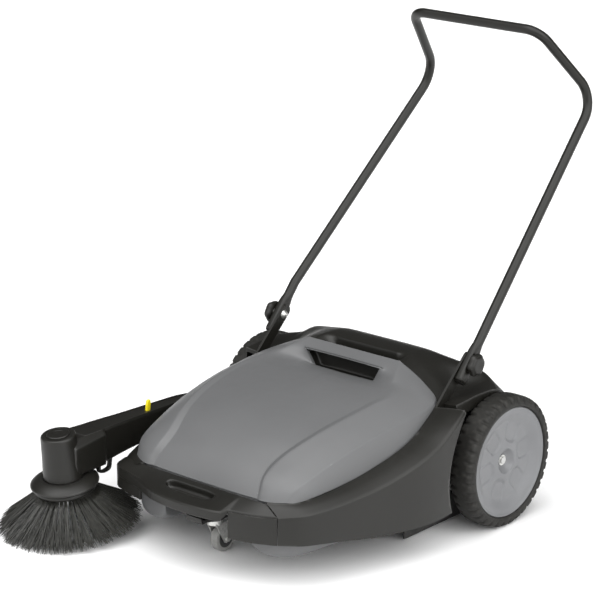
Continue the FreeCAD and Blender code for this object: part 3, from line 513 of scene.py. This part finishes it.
def bin_tub():
    """Grey tub under the cover: two rounded lobes at the front with a tunnel for the caster between them."""
    bm = bmesh.new()
    rows = [tub_row(*station) for station in TUB]
    verts = lay(bm, rows)
    skin(bm, verts)
    front = verts[0]
    left_top = bm.verts.new(spot(122, -582, 181))
    right_top = bm.verts.new(spot(-122, -582, 181))
    bm.faces.new([left_top] + front[0:6])
    bm.faces.new([right_top] + list(reversed(front[8:14])))
    bm.faces.new([left_top, front[5], front[6], front[7], front[8], right_top])
    rear = [bm.verts.new(spot(x - math.copysign(14, x), -246, z + (14 if z < 200 else 0)))
            for x, _, z in rows[-1]]
    for c in range(len(rear) - 1):
        bm.faces.new((verts[-1][c], verts[-1][c + 1], rear[c + 1], rear[c]))
    for column in (4, 5, 8, 9):
        crease_column(bm, verts, column, 0.7, 0, 6)
    for column in (0, 13):
        crease_column(bm, verts, column, 1.0)
    crease_row(bm, verts, 0, 0.35)
    crease_row(bm, verts, len(rows) - 1, 0.9)
    layer = crease_layer(bm)
    for c in (4, 5, 6, 7, 8):
        bm.edges.get((verts[4][c], verts[4][c + 1]))[layer] = 0.8
        bm.edges.get((verts[5][c], verts[5][c + 1]))[layer] = 0.8
    piece("bin_tub_shell", bm, "waste_bin", "grey_plastic", ["bin_tub"], 3, 3.0, outward=True)


# ---- rear hood ----
HOOD = [
    [(0, -93, 316), (83, -93, 316), (121, -94, 336), (165, -95, 322), (203, -99, 300), (236, -106, 281),
     (262, -112, 282), (303, -119, 288), (303, -118, 268)],
    [(0, -93, 328), (83, -93, 328), (124, -94, 349), (169, -95, 336), (207, -99, 312), (240, -106, 290),
     (262, -112, 291), (304, -119, 298), (304, -118, 270)],
    [(0, -57, 327), (83, -57, 327), (122, -62, 354), (163, -62, 344), (205, -62, 319), (240, -64, 298),
     (264, -66, 296), (305, -70, 301), (305, -70, 275)],
    [(0, -53, 353.5), (84, -53, 353.5), (121, -53, 354.5), (163, -52, 345), (205, -50, 319), (240, -51, 297),
     (264, -52, 298), (305, -55, 303), (305, -55, 275)],
    [(0, -19, 358), (83, -19, 358), (117, -18, 357), (160, -16, 349), (203, -10, 323), (239, -5, 303),
     (266, 0, 302), (305, 0, 303), (305, 0, 272)],
    [(0, 25, 352), (83, 25, 352), (114, 25, 351), (156, 26, 346), (203, 27, 340), (244, 42, 330),
     (268, 48, 308), (304, 36, 297), (304, 32, 265)],
    [(0, 60, 328), (83, 60, 328), (110, 60, 327), (152, 61, 323), (199, 66, 321), (242, 72, 312),
     (264, 72, 294), (300, 68, 274), (300, 68, 246)],
    [(0, 100, 285), (83, 100, 285), (107, 100, 284), (148, 100, 280), (190, 101, 272), (230, 101, 258),
     (258, 101, 244), (291, 100, 234), (291, 100, 206)],
    [(0, 135, 218), (83, 135, 218), (104, 135, 217), (143, 135, 213), (184, 134, 206), (220, 133, 197),
     (247, 131, 186), (280, 127, 176), (280, 127, 152)],
    [(0, 154, 150), (83, 154, 150), (102, 154, 149), (140, 154, 146), (178, 153, 141), (212, 151, 135),
     (240, 148, 127), (270, 142, 120), (270, 142, 100)],
    [(0, 160, 70), (83, 160, 70), (100, 160, 70), (138, 160, 70), (172, 159, 70), (204, 157, 70),
     (232, 153, 70), (260, 146, 70), (260, 144, 70)],
]


def rear_hood():
    bm = bmesh.new()
    pin = bm.verts.layers.float.new("crease_vert")
    verts = lay(bm, [mirrored_row(row) for row in HOOD])
    middle = len(HOOD[0]) - 1
    skin(bm, verts)
    for side in (-1, 1):
        crease_column(bm, verts, middle + side * 1, 1.0, 0, 3)
        for row in range(4):
            verts[row][middle + side][pin] = 1.0
        crease_column(bm, verts, middle + side * 2, 0.75, 0, 6)
        crease_column(bm, verts, middle + side * 5, 0.3, 0, 5)
        crease_column(bm, verts, middle + side * 6, 0.6)
        crease_column(bm, verts, middle + side * 7, 0.75)
        crease_column(bm, verts, middle + side * 8, 1.0)
    crease_row(bm, verts, 0, 1.0)
    crease_row(bm, verts, 1, 0.8)
    crease_row(bm, verts, len(HOOD) - 1, 1.0)
    layer = crease_layer(bm)
    for row in (2, 3):
        for column in (middle - 1, middle):
            bm.edges.get((verts[row][column], verts[row][column + 1]))[layer] = 0.92
    piece("rear_hood_shell", bm, "chassis", "black_plastic", ["rear_hood"], 3, 3.5, 0.7)


# ---- side shells ----
DECK = [
    ((178, -592, 180), (214, -597, 161), 100),
    ((215, -571, 181), (240, -578, 164), 100),
    ((231, -553, 181), (257, -561, 166), 99),
    ((243, -520, 185), (274, -518, 169), 97),
    ((254, -465, 191), (291, -461, 176), 90),
    ((263, -400, 201), (308, -400, 185), 80),
    ((272, -340, 215), (326, -336, 202), 79),
    ((281, -280, 233), (340, -277, 223), 77),
    ((280, -235, 248), (345, -228, 242), 77),
    ((275, -200, 262), (345, -190, 266), 82),
    ((267, -163, 277), (343, -158, 284), 82),
    ((262, -140, 287), (338, -134, 295), 82),
]
FAR_DECK_DROP = [0, 0, 0, 0, 0, 0, 4, 14, 24, 32, 36, 38]
FAR_EDGE_RISE = [16, 16, 15, 9, 0, 0, 0, 0, 0, 0, 0, 0]
WHEEL_ARCH_R = 196


def side_shell(name, side, reach, replaced):
    """Deck beside the bin and the wall below it; side is 1 on the machine's left and -1 on its right.

    The right wall's front lower edge is higher, which leaves room for the side brush when its arm is up.
    """
    bm = bmesh.new()
    rows = []
    for ((xi, yi, zi), (xo, yo, zo), bottom), drop, rise in zip(DECK, FAR_DECK_DROP, FAR_EDGE_RISE):
        xo = min(xo, reach)
        if side < 0:
            zo -= drop
            bottom += rise
        row = [(xi - 1, yi, zi - 12), (xi, yi, zi), ((xi + xo) / 2, (yi + yo) / 2, (zi + zo) / 2 + 2.5),
               (xo - 3, yo + 1, zo + 1), (xo, yo, zo - 2.5), (xo + 0.3, yo, zo - 12),
               (xo, yo, (zo + bottom) / 2), (xo - 0.5, yo, bottom)]
        rows.append([(x * side, y, z) for x, y, z in row])
    verts = lay(bm, rows)
    skin(bm, verts)
    crease_column(bm, verts, 0, 1.0)
    crease_column(bm, verts, 1, 0.6)
    crease_column(bm, verts, 3, 0.8)
    crease_column(bm, verts, 4, 0.8)
    crease_column(bm, verts, 7, 1.0)
    crease_row(bm, verts, 0, 1.0)
    crease_row(bm, verts, len(rows) - 1, 1.0)
    if side > 0:
        bmesh.ops.reverse_faces(bm, faces=bm.faces)
    obj = piece(name, bm, "chassis", "black_plastic", replaced, 3, 3.0)
    obj.modifiers.remove(obj.modifiers["normals"])
    cutter = bmesh.new()
    opening = [(150, 0), (150, WHEEL_ARCH_R), (-150, WHEEL_ARCH_R), (-150, 0)]
    revolve(cutter, opening, spot(side * 408, 0, AXLE.z / MM), (1, 0, 0), 128)
    cut_with(obj, cutter)
    polish(obj, bevel=0.7, bevel_angle=50)


NOSE = [
    ((-231, -553, 181), (-262, -566, 165)), ((-215, -571, 181), (-255, -595, 164)),
    ((-196, -583, 181), (-238, -605, 163)), ((-178, -592, 180.5), (-198, -617, 162)),
    ((-156, -594, 181), (-157, -627.5, 161)), ((-130, -594, 181), (-130, -641, 161)),
    ((-104, -594, 181), (-104, -652, 161)), ((-82, -594, 181), (-80, -659.5, 161)),
    ((-40, -594, 181), (-40, -666, 161)), ((10, -594, 181), (10, -668, 161)),
    ((60, -594, 181), (56, -665, 161)), ((92, -594, 181), (90, -658, 161)),
    ((104, -594, 181), (103, -652, 161)),
    ((112, -594, 181), (109.5, -634, 161)), ((150, -594, 181), (152, -625.5, 161)),
    ((166, -593, 181), (187, -612, 161)), ((178, -592, 180), (214, -597, 161)),
]
HOLE_ROWS = (7, 8, 9)


def nose_deck():
    """Black carry bar from the cover's front edge out to the nose, with a finger recess in its top."""
    rows = []
    for inner, outer in NOSE:
        a, b = Vector(inner), Vector(outer)
        span = (b - a).length
        bottom = 141 if inner[0] <= 104 else 156
        edge = a.lerp(b, 1 - 3 / span)
        rows.append([(a.x, a.y + 4, a.z - 8), tuple(a), tuple(a.lerp(b, 0.2)), tuple(a.lerp(b, 0.56)),
                     tuple(edge), (b.x, b.y, b.z - 3), (b.x, b.y, bottom)])
    bm = bmesh.new()
    verts = lay(bm, rows)
    faces = skin(bm, verts)
    for column in (0, 1, 4, 5, 6):
        crease_column(bm, verts, column, 0.75)
    for row in (0, len(rows) - 1):
        crease_row(bm, verts, row, 1.0)
    for row in (12, 13):
        crease_row(bm, verts, row, 0.8)
    sink(bm, [faces[row, 2] for row in HOLE_ROWS], Vector((0, 0, -0.016)), 0.94, value=0.7)
    piece("nose_deck", bm, "chassis", "black_plastic", ["front_bar"], 3, 3.0)

    for side, label in ((1, "left"), (-1, "right")):
        bm = bmesh.new()
        rows = []
        for x, y in ((140, -590), (165, -588), (190, -580), (214, -564), (232, -546), (244, -520)):
            rows.append([(side * (x - 10), y + 16, 175), (side * (x + 8), y - 3, 174.5)])
        verts = lay(bm, rows)
        skin(bm, verts)
        piece("nose_gusset_" + label, bm, "chassis", "black_plastic", levels=1, thick=4.0, outward=True)

    low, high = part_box("caster_plate")
    bm = bmesh.new()
    x0, x1, y0, y1 = low.x / MM - 4, high.x / MM + 4, (low.y - AXLE.y) / MM - 4, (high.y - AXLE.y) / MM + 4
    base = (high.z - FLOOR_Z) / MM
    x2, x3 = x0 + 12, x1 - 12
    stations = [(y1, x0, x1, base, 97), (y0, x0, x1, base, 97), (y0 - 16, x2, x3, base, 97),
                (-600, x2, x3, base, 99), (-604, x2, x3, 104, 144), (-596, x2, x3, 106, 146)]
    verts = lay(bm, [[(xa, y, lo), (xb, y, lo), (xb, y, hi), (xa, y, hi)] for y, xa, xb, lo, hi in stations])
    skin(bm, verts, ring=True)
    bm.faces.new(verts[0])
    bm.faces.new(verts[-1])
    piece("caster_mount_web", bm, "chassis", "black_plastic", bevel=1.5, outward=True)


def nose_skirt():
    plan = [(110, -633), (118, -632), (134, -629), (152, -624.5), (170, -618.5), (186, -611.5), (200, -604.5),
            (213, -597.5)]
    rows = [[(x, y, z) for z in (100, 102, 130, 158, 160)] for x, y in plan]
    bm = bmesh.new()
    verts = lay(bm, rows)
    skin(bm, verts)
    for column in (0, 1, 3, 4):
        crease_column(bm, verts, column, 0.9)
    for row in (0, len(rows) - 1):
        crease_row(bm, verts, row, 1.0)
    piece("nose_skirt_left", bm, "chassis", "black_plastic", ["front_skirt_left"], 2, 3.5, 0.8)


# ---- wheels ----
TYRE_LUGS = 38
PETALS = 6


def tyre_relief(along, radius, angle):
    """Blocks cut into both shoulders, half a pitch apart; the middle of the tread stays smooth."""
    shoulder = smooth(10, 17, abs(along)) * smooth(133, 139, radius)
    phase = TYRE_LUGS * angle / (2 * math.pi) + (0.5 if along > 0 else 0.0)
    wave = abs((phase % 1.0) - 0.5) * 2
    cut = smooth(0.62, 0.80, wave)
    return along * (1 - 0.02 * cut * shoulder), radius - 3.6 * cut * shoulder


TYRE_PROFILE = [(-29, 124.6), (-30, 130), (-30, 135), (-29, 139), (-27, 143), (-24, 146), (-19, 147.3),
                (-14, 147.8), (-9, 148), (-3, 148), (3, 148), (9, 148),
                (14, 147.8), (19, 147.3), (24, 146), (27, 143), (29, 139), (30, 135), (30, 130), (29, 124.6)]


def petal_relief(along, radius, angle):
    """Shallow rounded hollows round the hub, deepest towards it and fading out near the rim."""
    pitch = 2 * math.pi / PETALS
    offset = ((angle + 0.35) % pitch) - pitch / 2
    across = radius * math.sin(offset)
    from_inner = radius - 64
    reach = math.hypot(across, min(0.0, from_inner))
    inside = 1 - smooth(19, 22.5, reach)
    fade = 1 - smooth(72, 102, radius)
    return along - 2.6 * inside * fade, radius


def rim_profile():
    points = [(361.2, 124.3), (362.6, 122.4), (362.4, 120.5), (360.8, 118)]
    for i in range(30):
        radius = 116 - i * 2.8
        dish = 349 + 11 * smooth(84, 120, radius) + 3.2 * (1 - smooth(28, 56, radius))
        points.append((dish, radius))
    points += [(352.6, 30), (351.8, 28), (350, 26.4), (346, 23), (342, 18.5), (340.3, 15), (340, 12.6),
               (339.2, 11.6), (334, 11.4)]
    return points


def wheels():
    for side, label in ((1, "left"), (-1, "right")):
        centre = Vector((0, AXLE.y, AXLE.z))
        body = label + "_wheel"
        axis = (side, 0, 0)
        bm = bmesh.new()
        low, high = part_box("tyre_" + label)
        middle = (low.x + high.x) / 2
        revolve(bm, TYRE_PROFILE, Vector((middle, AXLE.y, AXLE.z)), axis, TYRE_LUGS * 10, True, tyre_relief)
        piece("tyre_tread_" + label, bm, body, "tyre", ["tyre_" + label], outward=True)
        bm = bmesh.new()
        revolve(bm, rim_profile(), centre, axis, 240, False, petal_relief)
        back = [(334, 11.4), (334, 24), (338, 60), (343, 104), (343, 116), (309, 117), (308, 124.3),
                (361.2, 124.3)]
        revolve(bm, back, centre, axis, 240)
        bmesh.ops.remove_doubles(bm, verts=bm.verts, dist=0.00001)
        piece("wheel_disc_" + label, bm, body, "rim_grey", ["wheel_rim_" + label], outward=True)


# ---- handle and knobs ----
def handle():
    pivot = joint_at("handle_fold")
    half = [Vector((273.5, -31.5, -36.5)), Vector((273.5, 54, 63)), Vector((229, 509.5, 494)),
            Vector((179, 358.5, 663))]
    leg = [pivot + v * MM for v in half]
    far = [Vector((-v.x, v.y, v.z)) for v in reversed(leg)]
    path = dense(rounded_path(leg + far, [40, 62, 45, 45, 62, 40]), 6)
    total = [0.0]
    for a, b in zip(path, path[1:]):
        total.append(total[-1] + (b - a).length / MM)

    def size_at(i):
        from_end = min(total[i], total[-1] - total[i])
        round_part = smooth(74, 100, from_end)
        tip = smooth(-2, 4, from_end)
        return (9.5 + 1.5 * round_part) * (0.86 + 0.14 * tip), (14.5 - 3.5 * round_part) * (0.84 + 0.16 * tip)

    def square_at(i):
        from_end = min(total[i], total[-1] - total[i])
        return 0.5 + 0.5 * smooth(74, 100, from_end)

    bm = bmesh.new()
    sweep(bm, path, size_at, Vector((1, 0, 0)), 32, square_at)
    piece("handle_frame", bm, "handle", "handle_paint", ["handle_tube", "handle_end_plugs"], outward=True)


def knob_relief(along, radius, angle):
    lobe = smooth(10, 18, radius) * (1 - 0.55 * smooth(296, 301, along))
    wave = math.cos(6 * angle)
    return along, radius + lobe * (1.3 * wave - 0.7)


def knobs():
    profile = [(284.7, 0), (284.7, 15), (285.2, 18), (286.5, 22), (288, 24.4), (291, 25.4), (295, 25.2),
               (298, 24.2), (299.2, 22.2), (300, 19.6), (302, 18.6), (302.8, 16.8), (303, 14), (302.7, 9),
               (302.4, 0)]
    for side, label in ((1, "left"), (-1, "right")):
        at = joint_at("knob_%s_turn" % label)
        bm = bmesh.new()
        revolve(bm, profile, Vector((0, at.y, at.z)), (side, 0, 0), 72, False, knob_relief)
        node = "clamp_knob_" + label
        piece("clamp_star_" + label, bm, "knob_" + label, "knob_black", [node], outward=True)


# ---- side brush arm ----
ARM = [
    (-187, -324, -324, -353, 176, 190, 194),
    (-192, -323, -324, -355, 169, 197, 202),
    (-203, -322, -323, -357, 164, 200, 205),
    (-250, -322, -323, -357, 161, 206, 211),
    (-300, -321, -323, -357, 158, 211, 217),
    (-470, -321, -323, -368, 152, 212, 218),
    (-540, -321, -323, -376, 142, 212, 218),
    (-562, -320, -323, -378, 140, 211, 218),
    (-570, -309, -321, -379, 139, 209, 217.5),
    (-620, -308, -322, -386, 138, 204, 217),
    (-664, -308, -326, -392, 138, 199, 216),
]


def brush_frame():
    spin = JOINTS["side_brush_spin"]
    axis = Vector(spin["axis"]).normalized()
    at = Vector(spin["pos_m"])
    foot = at - axis * ((at.z - FLOOR_Z) / axis.z)
    return foot, axis


def brush_arm():
    bm = bmesh.new()
    rows = []
    for y, inner, top_in, outer, low, shoulder, top in ARM:
        middle = (top_in + outer) / 2
        rows.append([(inner, y, low), (inner, y, (low + shoulder) / 2), (inner, y, shoulder),
                     (top_in, y, top), (middle, y, top), (outer, y, top), (outer, y, (low + top) / 2),
                     (outer, y, low), (middle, y, low)])
    verts = lay(bm, rows)
    faces = skin(bm, verts, ring=True)
    bm.faces.new(verts[0])
    bm.faces.new(verts[-1])
    for column in (0, 2, 3, 5, 7):
        crease_column(bm, verts, column, 0.8)
    for row in (0, len(rows) - 4, len(rows) - 3, len(rows) - 1):
        crease_row(bm, verts, row, 0.7, ring=True)
    strip = [faces[r, c] for r in range(3, len(ARM) - 2) for c in (3, 4)]
    made = bmesh.ops.inset_region(bm, faces=strip, thickness=0.0035, depth=0.0, use_boundary=True)
    bmesh.ops.inset_region(bm, faces=strip, thickness=0.0006, depth=-0.0022, use_boundary=True)
    layer = crease_layer(bm)
    for face in made["faces"]:
        for edge in face.edges:
            edge[layer] = 0.9
    piece("brush_arm_shell", bm, "side_brush_arm", "black_plastic", ["brush_arm", "brush_arm_cover"], 3,
          outward=True)

    foot, axis = brush_frame()
    bm = bmesh.new()
    revolve(bm, [(128, 0), (128, 43), (129, 44.6), (133, 45), (155, 43.6), (190, 41), (214, 39.8), (224, 39),
                 (227.6, 38.2), (229.4, 36.8), (230.2, 34.8), (230.5, 27), (229.6, 25.8), (229.4, 0)],
            foot, axis, 96)
    piece("brush_drum_shell", bm, "side_brush_arm", "black_plastic", outward=True)

    bm = bmesh.new()
    revolve(bm, [(131, 46.2), (130, 52), (127.5, 60), (123.5, 67.5), (120, 72.5), (117, 75.4), (114, 75.6),
                 (112.4, 74), (112.6, 71.6), (115.5, 68.5), (120, 60), (122.5, 50), (123, 46.2)],
            foot, axis, 96, True)
    piece("brush_guard_rim", bm, "side_brush_arm", "black_plastic", ["brush_guard_collar"], outward=True)

    bm = bmesh.new()
    loop = [spot(-332, -536, 146), spot(-332, -540, 118), spot(-332, -556, 114), spot(-332, -572, 118),
            spot(-332, -574, 146)]
    sweep(bm, dense(rounded_path(loop, [8, 30, 8]), 3), lambda i: (6, 3.5), Vector((1, 0, 0)), 12,
          lambda i: 0.6)
    piece("brush_arm_rest", bm, "side_brush_arm", "black_plastic", outward=True)


def brush_cap():
    foot, axis = brush_frame()
    bm = bmesh.new()
    revolve(bm, [(228.4, 0), (228.4, 25.4), (231.6, 25.2), (232.7, 24), (233, 22), (233, 14.5), (232.4, 13.6),
                 (231.8, 13), (231.8, 7), (232.4, 6.2), (232.6, 0)], foot, axis, 72)
    piece("drum_cap_disc", bm, "side_brush_arm", "black_plastic", ["brush_drum_cap"], outward=True)


def lift_lever():
    at = joint_at("lift_lever_turn")
    path = [at + Vector((0, y * MM, z * MM)) for y, z in
            ((0, -5), (0, -3), (0, 2), (0.5, 8), (1.5, 16), (2.5, 24), (3.2, 30), (3.5, 32.6), (3.6, 33.8))]
    widths = [(2.5, 3.5), (3.6, 5.4), (4, 6), (4, 6.2), (4, 6.3), (4, 6.2), (3.7, 5.6), (2.8, 4.4),
              (1.2, 2.2)]
    bm = bmesh.new()
    sweep(bm, path, lambda i: widths[i], Vector((1, 0, 0)), 16, lambda i: 0.6)
    piece("lift_lever_tab", bm, "lift_lever", "yellow_plastic", ["brush_lift_lever"], 1, outward=True)


# ---- bristles ----
def strand(bm, path, thick_mm, sideways):
    loops = []
    for i, point in enumerate(path):
        ahead = (path[min(i + 1, len(path) - 1)] - path[max(i - 1, 0)]).normalized()
        side = ahead.cross(sideways).normalized()
        other = ahead.cross(side)
        radius = thick_mm * MM * (1.0 if i < len(path) - 1 else 0.6)
        loops.append([bm.verts.new(point + (side * math.cos(a) + other * math.sin(a)) * radius)
                      for a in STRAND_CORNERS])
    skin(bm, loops, ring=True)
    bm.faces.new(loops[0])
    bm.faces.new(loops[-1])


TUFTS = 40
PER_TUFT = 58
ROOT_HEIGHT = 97.8
TIP_HEIGHT = 23
ROOT_R = 57
TIP_R = 160
MOST_TIP_R = 162
INNER_TUFT = 14
SIDE_BRUSH_SEED = 11


def side_brush():
    """Strands fanning out from the plate; depth runs from 0 at the outer layer to 1 at the inner one."""
    foot, axis = brush_frame()
    across = Vector((1, 0, 0))
    forward = axis.cross(across)
    rng = random.Random(SIDE_BRUSH_SEED)
    bm = bmesh.new()
    for t in range(TUFTS):
        tuft_angle = 2 * math.pi * (t + rng.uniform(-0.12, 0.12)) / TUFTS
        lean = rng.uniform(-0.04, 0.04)
        for _ in range(PER_TUFT):
            start_angle = tuft_angle + rng.uniform(-0.05, 0.05)
            end_angle = tuft_angle + lean + rng.gauss(0, 0.06)
            depth = rng.random()
            start_r = ROOT_R - INNER_TUFT * depth
            end_r = min(TIP_R - 30 * depth + rng.gauss(0, 1.8), MOST_TIP_R)
            bow = rng.uniform(-1.2, 0.0)
            path = []
            for i in range(6):
                f = i / 5
                a = start_angle + (end_angle - start_angle) * f ** 1.3
                r = start_r + (end_r - start_r) * f
                drop = ROOT_HEIGHT - TIP_HEIGHT - 9 * depth
                h = ROOT_HEIGHT - drop * f + bow * math.sin(math.pi * f)
                point = foot + (across * math.cos(a) + forward * math.sin(a)) * r * MM + axis * h * MM
                point.z = max(point.z, FLOOR_Z + 0.0012)
                path.append(point)
            strand(bm, path, rng.uniform(0.75, 1.05), axis)
    piece("side_brush_strands", bm, "side_brush", "bristle", ["side_brush_bristles"])

    bm = bmesh.new()
    revolve(bm, [(110.8, 12.2), (110.8, 63), (109.6, 66), (107.4, 67.6), (103.6, 68), (100.6, 67.2),
                 (98.4, 65), (97.4, 62), (97.4, 40), (101.2, 38), (101.2, 12.2)], foot, axis, 96, True)
    piece("brush_plate_rim", bm, "side_brush", "black_plastic", ["brush_plate"], outward=True)


def roller_brush():
    low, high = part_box("roller_bristles")
    centre = (low + high) / 2
    reach = (high.z - low.z) / 2 / MM
    rng = random.Random(5)
    bm = bmesh.new()
    rows, columns = 12, 74
    length = (high.x - low.x) / MM
    for row in range(rows):
        for column in range(columns):
            x = -length / 2 + 3 + (length - 6) * column / (columns - 1)
            twist = 0.9 * abs(x) / (length / 2)
            angle = 2 * math.pi * row / rows + twist
            for _ in range(5):
                a0 = angle + rng.uniform(-0.05, 0.05)
                a1 = a0 + rng.gauss(0, 0.045)
                dx = rng.gauss(0, 2.5)
                root = Vector((x * MM, math.cos(a0) * 31 * MM, math.sin(a0) * 31 * MM))
                r = reach - rng.uniform(0, 3)
                tip = Vector(((x + dx) * MM, math.cos(a1) * r * MM, math.sin(a1) * r * MM))
                strand(bm, [centre + root, centre + tip], 0.9, Vector((1, 0, 0)))
    piece("roller_strands", bm, "roller", "roller_bristle", ["roller_bristles"])


def pivot_boss():
    at = joint_at("side_brush_arm_lift")
    low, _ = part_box("side_panel_right")
    bm = bmesh.new()
    face = -low.x / MM
    revolve(bm, [(face, 9), (face, 14), (face - 1, 15), (300, 15), (298, 19), (297, 19), (297, 9)],
            Vector((0, at.y, at.z)), (-1, 0, 0), 64, True)
    piece("arm_pivot_boss", bm, "chassis", "black_plastic", outward=True)


# ---- CAD nodes that keep their shape ----
BEVELS = {
    "chassis_frame": 1.2, "front_skirt_right": 1.0, "handle_bracket_left": 1.0,
    "handle_bracket_right": 1.0, "carriage_bolts": 0.5, "bracket_bolts": 0.5, "clamp_washers": 0.4,
    "caster_fork": 0.5, "caster_plate": 0.5, "caster_screws": 0.3, "caster_axle": 0.5, "caster_hub": 0.8,
    "roller_core": 1.0,
    "rear_seal": 0.8, "side_seals": 0.8, "stub_axles": 0.6, "axle_clips": 0.2, "bin_seal": 0.5,
}


def dress_cad_nodes():
    """Gives every CAD node still on show its material and, where it has one, a small bevel."""
    slots = {row["node"]: row["material_slot"] for row in frame["record"]["subparts"]}
    for name, node in frame["nodes"].items():
        if node.hide_render:
            continue
        node.data.materials.clear()
        node.data.materials.append(MATERIALS[slots[name]])
        for attribute in ("custom_normal", "sharp_face"):
            if attribute in node.data.attributes:
                node.data.attributes.remove(node.data.attributes[attribute])
        bevel = BEVELS.get(name, 0.0)
        if bevel:
            polish(node, bevel=bevel, bevel_angle=32, weld=True)


# ---- studio ----
SOFT_BOXES = [
    ((0.35, -0.45, 1.0), 40, 16, 2.7),
    ((0.97, 0.05, 0.22), 30, 14, 2.4),
    ((-0.35, -0.92, 0.25), 28, 16, 1.1),
]
ROOM = 0.10
FLOOR_REACH = 30.0
CAMERA_LENS = 154.65
CAMERA_PITCH = 17.285
CAMERA_HEADING = 40.936


def studio_light():
    """Room whose walls are dim but for soft boxes: direction, half angle, blur in degrees, brightness."""
    world = bpy.data.worlds.new("studio")
    world.use_nodes = True
    tree = world.node_tree
    background = tree.nodes["Background"]
    background.inputs["Color"].default_value = (1, 1, 1, 1)
    coords = tree.nodes.new("ShaderNodeTexCoord")
    total = None
    for aim, half, blur, strength in SOFT_BOXES:
        dot = tree.nodes.new("ShaderNodeVectorMath")
        dot.operation = "DOT_PRODUCT"
        dot.inputs[1].default_value = Vector(aim).normalized()
        tree.links.new(coords.outputs["Generated"], dot.inputs[0])
        edge = tree.nodes.new("ShaderNodeMapRange")
        edge.interpolation_type = "SMOOTHSTEP"
        edge.inputs["From Min"].default_value = math.cos(math.radians(half + blur))
        edge.inputs["From Max"].default_value = math.cos(math.radians(half - blur))
        edge.inputs["To Max"].default_value = strength
        tree.links.new(dot.outputs["Value"], edge.inputs["Value"])
        add = tree.nodes.new("ShaderNodeMath")
        add.inputs[1].default_value = ROOM
        if total:
            tree.links.new(total, add.inputs[1])
        tree.links.new(edge.outputs["Result"], add.inputs[0])
        total = add.outputs["Value"]
    tree.links.new(total, background.inputs["Strength"])
    SCENE.world = world


def studio():
    bm = bmesh.new()
    corners = [bm.verts.new((x * FLOOR_REACH, y * FLOOR_REACH, FLOOR_Z))
               for x, y in ((-1, -1), (1, -1), (1, 1), (-1, 1))]
    bm.faces.new(corners)
    mesh = bpy.data.meshes.new("floor")
    bm.to_mesh(mesh)
    bm.free()
    floor = bpy.data.objects.new("floor", mesh)
    SCENE.collection.objects.link(floor)
    paint = surface("floor_paint", (0.90, 0.90, 0.90), 0.8, 4.0, 0.015, 0.01, 900, specular=0.1)
    mesh.materials.append(paint)

    studio_light()
    data = bpy.data.lights.new("key", "SUN")
    data.energy = 0.5
    data.angle = math.radians(40)
    lamp = bpy.data.objects.new("key", data)
    lamp.rotation_mode = "QUATERNION"
    lamp.rotation_quaternion = Vector((0.5, 0.45, -1.3)).normalized().to_track_quat("-Z", "Y")
    SCENE.collection.objects.link(lamp)
    SCENE.view_settings.view_transform = "Standard"
    SCENE.view_settings.look = "None"

    data = bpy.data.cameras.new("camera")
    data.sensor_width = 36
    data.lens = CAMERA_LENS
    data.clip_end = 100
    camera = bpy.data.objects.new("camera", data)
    camera.location = (3.464, AXLE.y - 4.275, FLOOR_Z + 2.156)
    camera.rotation_euler = (math.radians(90 - CAMERA_PITCH), 0, math.radians(CAMERA_HEADING))
    SCENE.collection.objects.link(camera)
    SCENE.camera = camera


bin_cover()
grip_pocket()
bin_tub()
rear_hood()
side_shell("side_shell_left", 1, 400, ["side_panel_left"])
side_shell("side_shell_right", -1, 306, ["side_panel_right"])
nose_deck()
nose_skirt()
wheels()
handle()
knobs()
brush_arm()
brush_cap()
lift_lever()
side_brush()
roller_brush()
pivot_boss()
dress_cad_nodes()
studio()
